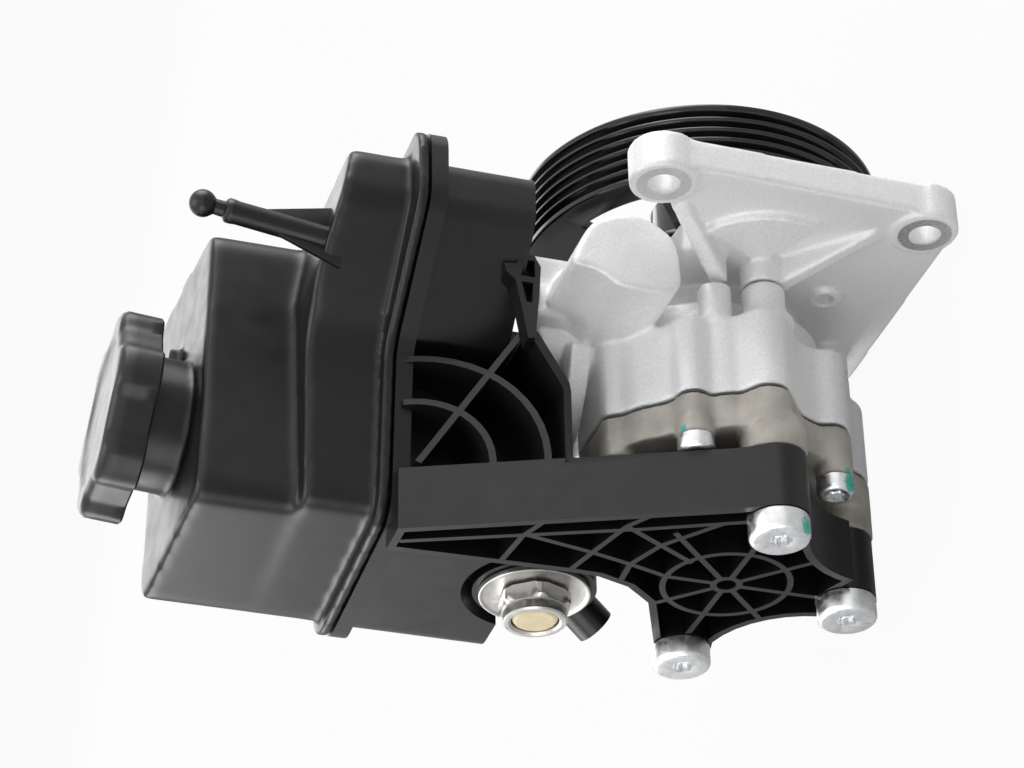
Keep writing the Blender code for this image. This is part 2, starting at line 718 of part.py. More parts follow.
def wedge(place, target, width, front, tall_rear, low_rear):
    """A rib from a column to a point on the plate, falling away along its length."""
    start, end = Vector(place), Vector(target)
    along = end - start
    points = [(0.0, front), (along.length, front), (along.length, low_rear), (0.0, tall_rear)]
    rib = prism(points, -width / 2, width / 2)
    # the rib is drawn in (run, depth) and stood up so that its run follows the plate
    stand = Matrix(((1, 0, 0, 0), (0, -1, 0, 0), (0, 0, 1, 0), (0, 0, 0, 1)))
    turn = Matrix.Rotation(-math.atan2(along.y, along.x), 4, "Y")
    moved(rib, Matrix.Translation((start.x, 0.0, start.y)) @ turn @ stand)
    return rib


def flange_ribs():
    column = LONG_SCREWS[0]
    upper, lower = ENGINE_BOSSES[0], ENGINE_BOSSES[1]
    front = PLATE_REAR - 3.0 * MM
    return [wedge(column, (upper[0] - 4.0 * MM, upper[1] - 4.0 * MM), RIB_WIDTH, front,
                  FLANGE_REAR - 1.5 * MM, PLATE_REAR + 0.2 * MM),
            wedge(column, (lower[0] - 8.0 * MM, lower[1] + 8.0 * MM), RIB_WIDTH, front,
                  FLANGE_REAR - 1.5 * MM, PLATE_REAR + 0.2 * MM)]


def build_shaft_seal():
    front = HUB_FRONT + 0.2 * MM
    seal = ring(JOURNAL_RADIUS + RUNNING_GAP, SEAL_RADIUS, front, front + SEAL_WIDTH)
    return finish(seal, "shaft_seal", plain_material("seal_rubber", (0.03, 0.02, 0.018), 0.7, 0.0))


def build_front_bush():
    inner = JOURNAL_RADIUS + RUNNING_GAP
    bush = ring(inner, inner + BUSH_WALL, HUB_FRONT + SEAL_WIDTH + 1.5 * MM, FLANGE_REAR - 1.0 * MM)
    return finish(bush, "front_bush", plain_material("front_bush_bronze", (0.55, 0.38, 0.2), 0.35, 1.0))


# Pump housing

def valve_block():
    """The cast block above the pump: valve boss, valve wall, suction spigot and port arm."""
    depth, height = VALVE_BOSS
    block = cylinder(VALVE_BOSS_RADIUS, (VALVE_BOSS_END, -depth, height), (VALVE_BOSS_FACE, -depth, height), WIDE)
    x, depth = VALVE_AXIS
    unite(block, cylinder(VALVE_WALL_RADIUS, (x, -depth, VALVE_FLOOR - 6.0 * MM), (x, -depth, VALVE_TOP)))
    unite(block, box((PORT_AXIS[0], -75.0 * MM, 24.0 * MM), (x, -58.5 * MM, 47.0 * MM)))
    x, depth = SUCTION_BOSS
    unite(block, cylinder(SUCTION_BOSS_RADIUS, (x, -depth, height), (x, -depth, SPIGOT_SHOULDER)))
    x, depth = SPIGOT_AXIS
    unite(block, cylinder(SPIGOT_NOSE, (x, -depth, SPIGOT_SHOULDER - 1.0 * MM), (x, -depth, SPIGOT_TIP)))
    unite(block, post(PORT_ARM_RADIUS, PORT_AXIS, FLUTES_START - 4.0 * MM, PORT_ARM_REAR))
    # clear of the flange's hub, which the boss hangs over
    return cut(block, post(HUB_RADIUS + 1.0 * MM, (0.0, 0.0), PLATE_FRONT, HOUSING_FRONT + 0.6 * MM, WIDE))


def rim_columns(body, columns, lobe):
    """The columns of the lobed rim that housing, gasket and cover share."""
    rim = [((0.0, 0.0), body, WIDE)]
    rim += [(place, radius, SEGMENTS) for place, radius in zip(LONG_SCREWS, columns)]
    for x, z in COVER_SCREWS:
        rim.append(((x, z), lobe, SEGMENTS))
        rim.append(((x * LOBE_ROOT, z * LOBE_ROOT), lobe, NARROW))
    return rim


def build_housing():
    flutes = rim_columns(HOUSING_RADIUS, HOUSING_COLUMNS, COVER_LOBE)
    housing = lobed_block(flutes, FLUTES_START, HOUSING_REAR)
    neck = [((0.0, 0.0), HOUSING_NECK, WIDE)] + [(place, COLUMN_RADIUS, SEGMENTS) for place in LONG_SCREWS]
    unite(housing, lobed_block(neck, HOUSING_FRONT, FLUTES_START + 3.0 * MM))
    unite(housing, post(6.3 * MM, (36.5 * MM, 13.6 * MM), HOUSING_FRONT + 1.5 * MM, FLUTES_START + 6.0 * MM, NARROW))
    unite(housing, valve_block())
    cut(housing, post(CAVITY_RADIUS, (0.0, 0.0), CAVITY_START, HOUSING_REAR + 1.0 * MM, WIDE))
    cut(housing, post(JOURNAL_RADIUS + 1.0 * MM, (0.0, 0.0), HOUSING_FRONT - 1.0 * MM, CAVITY_START + 1.0 * MM))
    drill(housing, SLEEVE_BORE, LONG_SCREWS, HOUSING_FRONT, HOUSING_REAR)
    drill(housing, COVER_SHANK + SEAT_GAP, COVER_SCREWS, COVER_TIP, HOUSING_REAR)
    x, depth = VALVE_AXIS
    cut(housing, cylinder(VALVE_BORE, (x, -depth, VALVE_FLOOR), (x, -depth, VALVE_TOP + 1.0 * MM)))
    x, depth = SPIGOT_AXIS
    cut(housing, cylinder(SPIGOT_BORE, (x, -depth, VALVE_BOSS[1]), (x, -depth, SPIGOT_TIP + 1.0 * MM), NARROW))
    drill(housing, UNION_SHANK + SEAT_GAP, [PORT_AXIS], UNION_TIP - 1.0 * MM, PORT_ARM_REAR, SEGMENTS)
    return finish(housing, "pump_housing", cast_aluminium("housing_casting"))


def build_valve():
    """Flow control spool, its spring below and the plug above."""
    x, depth = VALVE_AXIS
    floor = VALVE_FLOOR
    spring_top = floor + SPOOL_SPRING
    plug_low = VALVE_TOP - VALVE_PLUG
    radius = VALVE_BORE - RUNNING_GAP
    spool_low, spool_high = spring_top + SEAT_GAP, plug_low - SEAT_GAP
    waist = radius - 2.0 * MM
    profile = [(0.0, spool_high), (radius - 0.4 * MM, spool_high), (radius, spool_high - 0.4 * MM),
               (radius, spool_high - 3.0 * MM), (waist, spool_high - 3.0 * MM),
               (waist, spool_low + 2.6 * MM), (radius, spool_low + 2.6 * MM), (radius, spool_low), (0.0, spool_low)]
    spool = moved(turned(profile), Matrix.Translation((x, -depth, 0.0)))
    finish(spool, "flow_spool", bright_steel("spool_steel"), (x, -depth, 0.0))
    spring = coil_spring(4.6 * MM, 0.5 * MM, floor + SEAT_GAP, spring_top, 3.5)
    moved(spring, Matrix.Translation((x, -depth, 0.0)))
    finish(spring, "spool_spring", bright_steel("spring_steel"))
    thread = VALVE_BORE - SEAT_GAP
    plug = cylinder(thread, (x, -depth, plug_low), (x, -depth, VALVE_TOP + 0.6 * MM))
    cut(plug, moved(prism(star_points(3.4 * MM, 2.6 * MM, 6), VALVE_TOP - 2.0 * MM, VALVE_TOP + 2.0 * MM),
                    Matrix.Translation((x, -depth, 0.0))))
    finish(plug, "valve_plug", bright_steel("plug_steel"))


def coil_spring(radius, wire, low, high, turns):
    """A wire coil standing on Z, swept along its own helix."""
    curve = bpy.data.curves.new("coil", "CURVE")
    curve.dimensions = "3D"
    curve.bevel_depth = wire
    curve.bevel_resolution = 1
    curve.use_fill_caps = True
    count = int(turns * 8)
    spline = curve.splines.new("POLY")
    spline.points.add(count)
    rise = high - low - 2 * wire
    for index, point in enumerate(spline.points):
        angle = 2 * math.pi * turns * index / count
        point.co = (radius * math.cos(angle), radius * math.sin(angle), low + wire + rise * index / count, 1.0)
    holder = link(bpy.data.objects.new("coil", curve), WORK)
    mesh = evaluated_mesh(holder)
    discard(holder)
    weld(mesh)
    return link(bpy.data.objects.new("coil", mesh), WORK)


def build_suction_seal():
    x, depth = SPIGOT_AXIS
    low = SPIGOT_SHOULDER + SEAT_GAP
    seal = turned([(SPIGOT_NOSE + 2.2 * MM, low + 1.8 * MM), (SPIGOT_NOSE + 2.2 * MM, low),
                   (SPIGOT_NOSE + SEAT_GAP, low), (SPIGOT_NOSE + SEAT_GAP, low + 1.8 * MM)], closed=True)
    moved(seal, Matrix.Translation((x, -depth, 0.0)))
    return finish(seal, "suction_seal", plain_material("suction_rubber", (0.03, 0.03, 0.03), 0.8, 0.0))


# Rear cover, gasket and screws

def build_gasket():
    front = HOUSING_REAR + SEAT_GAP
    rear = front + GASKET
    inset = 0.6 * MM
    columns = rim_columns(COVER_BODY_RADIUS - inset, [r - inset for r in HOUSING_COLUMNS], COVER_LOBE - inset)
    gasket = lobed_block(columns, front, rear)
    drill(gasket, CAVITY_RADIUS, [(0.0, 0.0)], front, rear, WIDE)
    drill(gasket, SLEEVE_BORE, LONG_SCREWS, front, rear)
    drill(gasket, COVER_SHANK + SEAT_GAP, COVER_SCREWS, front, rear)
    return finish(gasket, "cover_gasket", plain_material("gasket_grey", (0.12, 0.12, 0.12), 0.7, 0.3))


def build_rear_cover():
    columns = rim_columns(COVER_BODY_RADIUS, [COVER_COLUMN_RADIUS] * 3, COVER_LOBE)
    cover = lobed_block(columns, COVER_FRONT, COVER_BODY_REAR)
    for place in LONG_SCREWS:
        unite(cover, post(COVER_COLUMN_RADIUS - 0.3 * MM, place, COVER_FRONT + 2.0 * MM, COVER_REAR))
        unite(cover, wedge((0.0, 0.0), place, 7.0 * MM, COVER_BODY_REAR - 4.0 * MM,
                           COVER_HUB_REAR - 1.0 * MM, COVER_REAR - 1.5 * MM))
    for place in COVER_SCREWS:
        unite(cover, post(COVER_LOBE - 0.3 * MM, place, COVER_FRONT + 2.0 * MM, COVER_LOBE_REAR))
    unite(cover, post(COVER_HUB_RADIUS, (0.0, 0.0), COVER_BODY_REAR - 2.0 * MM, COVER_HUB_REAR))
    bush_outer = TAIL_RADIUS + RUNNING_GAP + BUSH_WALL + SEAT_GAP
    cut(cover, post(bush_outer, (0.0, 0.0), COVER_FRONT - 1.0 * MM, SHAFT_LENGTH + 1.0 * MM))
    drill(cover, SLEEVE_BORE, LONG_SCREWS, COVER_FRONT, COVER_REAR)
    drill(cover, COVER_SHANK + SEAT_GAP, COVER_SCREWS, COVER_FRONT, COVER_LOBE_REAR)
    return finish(cover, "rear_cover", plain_material("cover_iron", (0.3, 0.28, 0.25), 0.6, 0.7))


def build_rear_bush():
    inner = TAIL_RADIUS + RUNNING_GAP
    bush = ring(inner, inner + BUSH_WALL, COVER_FRONT + 0.5 * MM, SHAFT_LENGTH - 1.0 * MM)
    return finish(bush, "rear_bush", plain_material("rear_bush_bronze", (0.55, 0.38, 0.2), 0.35, 1.0))


def torx_screw(place, seat, tip, shank, head_radius, head_height, socket):
    """A pan-headed six-lobe screw along the pump axis, head to the rear."""
    top = seat + head_height
    profile = [(0.0, tip), (shank, tip), (shank, seat), (head_radius, seat),
               (head_radius, top - 1.2 * MM), (head_radius - 1.4 * MM, top), (0.0, top)]
    screw = turned_on_axis(profile, place, NARROW + 4)
    points = shift_points(star_points(socket, socket * 0.76, 6), place)
    return cut(screw, deep_prism(points, top - head_height * 0.5, top + 1.0 * MM))


def build_screws():
    seat = BRACKET_REAR + SEAT_GAP
    long_screws = [torx_screw(place, seat, LONG_TIP, LONG_SHANK, LONG_HEAD_RADIUS, LONG_HEAD_HEIGHT, 4.0 * MM)
                   for place in LONG_SCREWS]
    finish_set(long_screws, "bracket_screw", bright_steel("long_screw_zinc"))
    seat = COVER_LOBE_REAR + SEAT_GAP
    short_screws = [torx_screw(place, seat, COVER_TIP, COVER_SHANK, COVER_HEAD_RADIUS, COVER_HEAD_HEIGHT, 2.7 * MM)
                    for place in COVER_SCREWS]
    finish_set(short_screws, "cover_screw", bright_steel("short_screw_zinc"))
    sleeves = [ring(SLEEVE_BORE, SLEEVE_RADIUS, BRACKET_FRONT, BRACKET_REAR, place, NARROW) for place in LONG_SCREWS]
    finish_set(sleeves, "bracket_sleeve", bright_steel("sleeve_steel"))


# Pressure union, washer and transport plug

def build_union():
    washer_front = COLLAR_REAR + SEAT_GAP
    washer_rear = washer_front + WASHER_THICKNESS
    washer = ring(UNION_SHANK + 0.6 * MM, WASHER_RADIUS, washer_front, washer_rear, PORT_AXIS, WIDE)
    finish(washer, "union_washer", bright_steel("washer_steel"))
    hex_front = washer_rear + SEAT_GAP
    hex_rear = hex_front + UNION_HEX_HEIGHT
    ring_rear = hex_rear + UNION_RING_HEIGHT
    across = UNION_HEX_FLATS / math.sqrt(3.0)
    turn = math.radians(8.0)
    hexagon = [(PORT_AXIS[0] + across * math.cos(turn + math.pi / 3 * k),
                PORT_AXIS[1] + across * math.sin(turn + math.pi / 3 * k)) for k in range(6)]
    union = deep_prism(hexagon, hex_front, hex_rear)
    unite(union, post(UNION_RING_RADIUS, PORT_AXIS, hex_rear - 1.0 * MM, ring_rear))
    unite(union, post(UNION_SHANK, PORT_AXIS, UNION_TIP, hex_front + 1.0 * MM))
    cut(union, post(UNION_BORE, PORT_AXIS, UNION_TIP - 1.0 * MM, hex_rear, NARROW))
    cut(union, post(PLUG_RADIUS + SEAT_GAP, PORT_AXIS, hex_front + 0.5 * MM, ring_rear + 1.0 * MM))
    finish(union, "pressure_union", bright_steel("union_steel"))
    plug = turned_on_axis([(0.0, hex_front + 0.8 * MM), (PLUG_RADIUS, hex_front + 0.8 * MM),
                           (PLUG_RADIUS, ring_rear - 1.0 * MM), (PLUG_RADIUS - 0.6 * MM, ring_rear - 0.5 * MM),
                           (0.0, ring_rear - 0.5 * MM)], PORT_AXIS)
    finish(plug, "transport_plug", plain_material("plug_plastic", (0.78, 0.66, 0.38), 0.5, 0.0))


# Reservoir, upper half

def filler_matrix():
    """From the neck's own frame to the part's: leant about its foot on the dome."""
    x, depth = FILLER_BASE
    return Matrix.Translation((x, -depth, DOME_TOP)) @ Matrix.Rotation(-FILLER_LEAN, 4, "X")


def filler_axis():
    return Vector((0.0, math.sin(FILLER_LEAN), math.cos(FILLER_LEAN)))


def stud_web(toward, foot, width):
    """A thin web under the ball stud, in the stud's own plane."""
    base, ball = Vector(STUD_BASE), Vector(STUD_BALL)
    start = base.lerp(ball, 0.86)
    points = [(-base.y, base.z - 2.0 * MM), (-start.y, start.z), (-(base.y + toward * foot), base.z - 2.0 * MM)]
    outline = [(-y, z) for y, z in points]
    return side_prism(outline, base.x - width / 2, base.x + width / 2)


def stud_pieces():
    base, ball = STUD_BASE, STUD_BALL
    low = Vector((base[0], -base[1], base[2]))
    high = Vector((ball[0], -ball[1], ball[2]))
    along = (high - low).normalized()
    neck_end = high - along * STUD_BALL_RADIUS * 0.7
    collar_end = neck_end - along * 2.6 * MM
    collar_start = collar_end - along * 4.0 * MM
    bm = bmesh.new()
    bmesh.ops.create_uvsphere(bm, u_segments=NARROW, v_segments=8, radius=STUD_BALL_RADIUS)
    bm.transform(Matrix.Translation(high))
    return [cylinder(STUD_COLLAR_RADIUS, collar_start, collar_end, NARROW),
            cylinder(STUD_ROOT_RADIUS, low, collar_start + along * 0.5 * MM, NARROW),
            cylinder(STUD_NECK_RADIUS, collar_end - along * 1.0 * MM, high, NARROW),
            from_bmesh(bm),
            stud_web(1.0, 9.0 * MM, 1.6 * MM), stud_web(-1.0, 7.5 * MM, 1.6 * MM)]


def tank_shape(outline, low, high, inset):
    return prism(rounded(offset(plan(outline), inset)), low, high)


def build_reservoir_top():
    weld_face = SEAM + SEAT_GAP / 2
    top = tank_shape(TANK_OUTLINE, weld_face, TANK_TOP, 0.0)
    bevel_top(top, TANK_TOP, TOP_ROUND)
    dome = tank_shape(DOME_OUTLINE, weld_face + 2.0 * MM, DOME_TOP, 0.0)
    unite(top, bevel_top(dome, DOME_TOP, TOP_ROUND))
    unite(top, tank_shape(TANK_OUTLINE, weld_face, RIM_HIGH, RIM_OVERHANG))
    neck = turned([(NECK_RADIUS, NECK_HEIGHT), (NECK_RADIUS, -6.0 * MM), (0.0, -6.0 * MM), (0.0, NECK_HEIGHT)], WIDE, True)
    unite(top, moved(neck, filler_matrix()))
    unite(top, *stud_pieces())
    tab = side_prism([(56.0 * MM, DOME_TOP - 3.0 * MM), (56.0 * MM, DOME_TOP + 4.0 * MM), (66.0 * MM, DOME_TOP + 4.0 * MM),
                      (66.0 * MM, DOME_TOP - 3.0 * MM)], FILLER_BASE[0] - 1.0 * MM, FILLER_BASE[0] + 1.2 * MM)
    unite(top, tab)
    hollow = tank_shape(TANK_OUTLINE, weld_face - 2.0 * MM, TANK_TOP - TANK_WALL, -TANK_WALL)
    unite(hollow, tank_shape(DOME_OUTLINE, weld_face - 1.0 * MM, DOME_TOP - TANK_WALL, -TANK_WALL))
    cut(top, hollow)
    bore = cylinder(NECK_BORE, (0.0, 0.0, -12.0 * MM), (0.0, 0.0, NECK_HEIGHT + 2.0 * MM))
    cut(top, moved(bore, filler_matrix()))
    return finish(top, "reservoir_top", satin_black("reservoir_top_plastic"))


# Cap, seal and dipstick

def lobed_outline(radius, lobe, count, steps=72):
    points = []
    for index in range(steps):
        angle = 2 * math.pi * index / steps
        reach = radius + lobe * math.cos(count * angle)
        points.append((reach * math.cos(angle), reach * math.sin(angle)))
    return points


def build_cap():
    cap = bevel_top(prism(lobed_outline(CAP_RADIUS, CAP_LOBE, CAP_LOBES, 48), CAP_BOTTOM, CAP_TOP), CAP_TOP, 2.0 * MM, 2)
    inner = NECK_RADIUS + 1.2 * MM
    cut(cap, cylinder(inner, (0, 0, CAP_BOTTOM - 1.0 * MM), (0, 0, CAP_CEILING)))
    plug = cylinder(CAP_PLUG_RADIUS, (0, 0, NECK_HEIGHT - CAP_PLUG_DEPTH), (0, 0, CAP_CEILING + 1.0 * MM))
    unite(cap, plug)
    slot = DIPSTICK_WIDTH / 2 + SEAT_GAP
    thick = DIPSTICK_THICKNESS / 2 + SEAT_GAP
    root = NECK_HEIGHT - CAP_PLUG_DEPTH
    cut(cap, box((-slot, -thick, root - 1.0 * MM), (slot, thick, root + 6.0 * MM)))
    matrix = filler_matrix()
    moved(cap, matrix)
    finish(cap, "filler_cap", satin_black("cap_plastic"), matrix.translation)
    stick = box((-slot + SEAT_GAP, -thick + SEAT_GAP, root + 5.6 * MM - DIPSTICK_LENGTH),
                (slot - SEAT_GAP, thick - SEAT_GAP, root + 5.6 * MM))
    finish(moved(stick, matrix), "dipstick", plain_material("dipstick_plastic", (0.05, 0.05, 0.05), 0.5, 0.0),
           matrix.translation)
    low = NECK_HEIGHT + SEAT_GAP
    seal = turned([(NECK_RADIUS - 0.3 * MM, CAP_CEILING - SEAT_GAP), (NECK_RADIUS - 0.3 * MM, low),
                   (CAP_PLUG_RADIUS + SEAT_GAP, low), (CAP_PLUG_RADIUS + SEAT_GAP, CAP_CEILING - SEAT_GAP)], SEGMENTS, True)
    finish(moved(seal, matrix), "cap_seal", plain_material("cap_rubber", (0.02, 0.02, 0.02), 0.8, 0.0),
           matrix.translation)


# Reservoir, lower half with the bracket

def bracket_outline():
    """The bracket's edge in (x, z): down the slanted arm and round the three screw bosses."""
    s1, s2, s3 = LONG_SCREWS
    r = BRACKET_BOSS
    points = [(-6.0 * MM, BRACKET_TOP), (6.2 * MM, BRACKET_TOP), (41.8 * MM, 10.0 * MM)]
    points += boss_arc(s1, r, 20.0, -62.0)
    points += hollow_arc((41.0 * MM, -41.5 * MM), 28.5 * MM, 101.0, 168.0)
    points += boss_arc(s2, r, 30.0, -185.0)
    points += hollow_arc((-38.5 * MM, -39.5 * MM), 29.0 * MM, 8.0, 80.0)
    points += boss_arc(s3, r, -70.0, -215.0)
    points += [(-15.5 * MM, 15.3 * MM), (-8.1 * MM, 24.0 * MM), (-4.6 * MM, 34.0 * MM), (-4.4 * MM, 43.0 * MM)]
    return points


def boss_arc(centre, radius, first, last, steps=8):
    angles = [math.radians(first + (last - first) * k / steps) for k in range(steps + 1)]
    return [(centre[0] + radius * math.cos(a), centre[1] + radius * math.sin(a)) for a in angles]


def hollow_arc(centre, radius, first, last, steps=7):
    return boss_arc(centre, radius, first, last, steps)


def lattice_lines():
    """Rib centre lines in (x, z), as (start, end) pairs in millimetres."""
    lines = [((-0.6, 92.7), (12.4, 60.4)), ((12.4, 60.4), (24.4, 30.4)), ((24.4, 30.4), (37.0, 2.0)),
             ((-6.0, 63.0), (11.4, 61.4)), ((11.4, 61.4), (24.0, 57.0)), ((-6.0, 43.5), (7.8, 40.1)),
             ((7.8, 40.1), (24.4, 35.8)), ((24.4, 35.8), (34.0, 30.0)), ((-8.0, 27.0), (4.5, 27.8)),
             ((4.5, 27.8), (16.9, 23.2)), ((16.9, 23.2), (33.0, 11.0)), ((12.4, 60.4), (8.2, 41.0)),
             ((8.2, 41.0), (4.5, 27.8)), ((4.5, 27.8), (0.6, 16.0)), ((24.4, 35.8), (16.7, 23.0)),
             ((16.7, 23.0), (9.8, 11.5))]
    return [((a * MM, b * MM), (c * MM, d * MM)) for (a, b), (c, d) in lines]


def bracket_pockets():
    """What is taken out between the ribs, leaving rim, ribs, ring and hub."""
    outline = [(x, y, 0.0) for x, y in bracket_outline()]
    front, rear = BRACKET_FRONT + BRACKET_FLOOR, BRACKET_REAR + 1.0 * MM
    inner = [(x, y) for x, y, _ in offset(outline, -BRACKET_RIM)]
    pockets = prism(inner, front, rear)
    tall = (front - 1.0 * MM, rear + 1.0 * MM)
    for start, end in lattice_lines():
        cut(pockets, bar(start, end, LATTICE_WIDTH, *tall))
    hub = Vector(LATTICE_HUB)
    for index in range(8):
        angle = math.pi / 4 * index
        away = Vector((math.cos(angle), math.sin(angle)))
        reach = 34.0 * MM if index not in (2,) else LATTICE_RING
        cut(pockets, bar(hub + away * 3.4 * MM, hub + away * reach, LATTICE_WIDTH, *tall))
    half = LATTICE_WIDTH / 2
    band = prism(circle_points(LATTICE_RING + half, WIDE, LATTICE_HUB), *tall)
    cut(band, prism(circle_points(LATTICE_RING - half, WIDE, LATTICE_HUB), tall[0] - 1.0 * MM, tall[1] + 1.0 * MM))
    cut(pockets, band)
    cut(pockets, prism(circle_points(LATTICE_HUB_RADIUS, NARROW, LATTICE_HUB), *tall))
    for place in LONG_SCREWS:
        cut(pockets, prism(circle_points(BRACKET_BOSS - 0.1 * MM, SEGMENTS, place), *tall))
    return moved(pockets, TO_DEPTH)


def build_bracket():
    bracket = deep_prism(bracket_outline(), BRACKET_FRONT, BRACKET_REAR)
    cut(bracket, bracket_pockets())
    drill(bracket, LATTICE_HOLE, [LATTICE_HUB], BRACKET_FRONT, BRACKET_REAR)
    return bracket


def gusset():
    """Curved ribs, a spoke and an end wall that stiffen the corner of reservoir and bracket."""
    centre = (-GUSSET_CORNER[0], GUSSET_CORNER[1])
    pieces = []
    for radius in GUSSET_RADII:
        band = arc_band(centre, radius - GUSSET_RIB / 2, radius + GUSSET_RIB / 2, -95.0, 5.0, 13)
        pieces.append(moved(prism(band, GUSSET_FLOOR, 30.0 * MM), TO_SIDE))
    spoke = bar((-107.0 * MM, 91.5 * MM), (-64.0 * MM, 61.0 * MM), GUSSET_RIB, GUSSET_FLOOR, 30.0 * MM)
    pieces.append(moved(spoke, TO_SIDE))
    ribs = pieces[0]
    unite(ribs, *pieces[1:])
    # the ribs' edges follow one slanted plane, lower at the reservoir's rim
    lid = box((0.0, -130.0 * MM, -60.0 * MM), (60.0 * MM, -40.0 * MM, 60.0 * MM))
    slope = Matrix.Rotation(math.atan(0.3), 4, "Y")
    moved(lid, Matrix.Translation((12.0 * MM, 0.0, 92.0 * MM)) @ slope)
    cut(ribs, lid)
    return ribs


def end_wall():
    wall = [(69.0, 62.5), (86.0, 52.2), (109.5, 51.6), (109.5, 49.2), (85.2, 49.8), (69.0, 59.5)]
    points = [(depth * MM, z * MM) for depth, z in wall]
    return side_prism(points, GUSSET_FLOOR, 23.5 * MM)


def socket_ribs():
    """The open rib frame under the suction socket."""
    frame = [(42.0, 64.0), (42.0, 58.2), (69.5, 58.2), (69.5, 64.0)]
    outer = side_prism([(d * MM, z * MM) for d, z in frame], 8.0 * MM, 24.0 * MM)
    hole = side_prism([(44.0 * MM, 59.8 * MM), (44.0 * MM, 62.0 * MM), (67.5 * MM, 62.0 * MM), (67.5 * MM, 59.8 * MM)],
                      0.0, 30.0 * MM)
    cut(outer, hole)
    x, depth = SUCTION_BOSS
    cut(outer, cylinder(SUCTION_BOSS_RADIUS + 2.0 * MM, (x, -depth, 50.0 * MM), (x, -depth, 70.0 * MM)))
    return outer


def foot_outline():
    return [(-5.0 * MM, FOOT_START, 4.0 * MM), (-5.0 * MM, TANK_REAR, 5.0 * MM),
            (-66.0 * MM, TANK_REAR, 7.0 * MM), (-66.0 * MM, FOOT_START, 6.0 * MM)]


def build_reservoir_base():
    weld_face = SEAM - SEAT_GAP / 2
    base = tank_shape(BASE_OUTLINE, BASE_FLOOR, weld_face - 0.5 * MM, 0.0)
    unite(base, tank_shape(TANK_OUTLINE, RIM_LOW, weld_face, RIM_OVERHANG))
    unite(base, tank_shape(foot_outline(), FOOT_FLOOR, BASE_FLOOR + 2.0 * MM, 0.0))
    floor = TANK_FLOOR
    cut(base, tank_shape(BASE_OUTLINE, floor, weld_face + 1.0 * MM, -TANK_WALL))
    drill(base, ARM_CLEARANCE, [PORT_AXIS], FOOT_START - 1.0 * MM, COLLAR_FRONT + 1.0 * MM, WIDE)
    drill(base, SCOOP_RADIUS, [PORT_AXIS], BRACKET_FRONT + 5.0 * MM, TANK_REAR + 1.0 * MM, WIDE)
    unite(base, build_bracket(), gusset(), end_wall())
    unite(base, post(COLLAR_RADIUS, PORT_AXIS, COLLAR_FRONT, COLLAR_REAR, WIDE))
    drill(base, COLLAR_BORE, [PORT_AXIS], COLLAR_FRONT, COLLAR_REAR, SEGMENTS)
    start = (NIPPLE_START[0], -NIPPLE_START[1], NIPPLE_START[2])
    end = (NIPPLE_END[0], -NIPPLE_END[1], NIPPLE_END[2])
    unite(base, cylinder(NIPPLE_RADIUS, start, end), socket_ribs())
    along = (Vector(end) - Vector(start)).normalized()
    cut(base, cylinder(NIPPLE_BORE, Vector(start) + along * 9.0 * MM, Vector(end) + along * 1.0 * MM, NARROW))
    x, depth = SPIGOT_AXIS
    seal = SPIGOT_NOSE + 2.5 * MM
    cut(base, cylinder(seal, (x, -depth, 50.0 * MM), (x, -depth, BASE_FLOOR + 0.2 * MM)))
    cut(base, cylinder(SPIGOT_NOSE + SEAT_GAP, (x, -depth, BASE_FLOOR - 1.0 * MM), (x, -depth, floor + 1.0 * MM)))
    drill(base, SLEEVE_RADIUS + SEAT_GAP, LONG_SCREWS, BRACKET_FRONT, BRACKET_REAR, SEGMENTS)
    return finish(base, "reservoir_base", satin_black("reservoir_base_plastic"))


def build_filter():
    points = lobed_outline(FILTER_RADIUS, 1.2 * MM, FILTER_PLEATS, FILTER_PLEATS * 2)
    floor = TANK_FLOOR + SEAT_GAP
    element = prism(points, floor, floor + FILTER_HEIGHT)
    cut(element, cylinder(FILTER_BORE, (0, 0, floor - 1.0 * MM), (0, 0, floor + FILTER_HEIGHT + 1.0 * MM)))
    x, depth = FILTER_CENTRE
    moved(element, Matrix.Translation((x, -depth, 0.0)))
    return finish(element, "filter_element", plain_material("filter_paper", (0.6, 0.55, 0.42), 0.9, 0.0))


def clear_scene():
    for obj in list(bpy.data.objects):
        bpy.data.objects.remove(obj)


def new_collection(name):
    collection = bpy.data.collections.new(name)
    bpy.context.scene.collection.children.link(collection)
    return collection


clear_scene()
PARTS = new_collection("power_steering_pump")
WORK = new_collection("shaping")

build_rotating_group()
build_front_flange()
build_shaft_seal()
build_front_bush()
build_housing()
build_valve()
build_suction_seal()
build_gasket()
build_rear_cover()
build_rear_bush()
build_screws()
build_union()
build_reservoir_top()
build_cap()
build_reservoir_base()
build_filter()
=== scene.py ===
import math

import bmesh
import bpy
from mathutils import Matrix, Vector


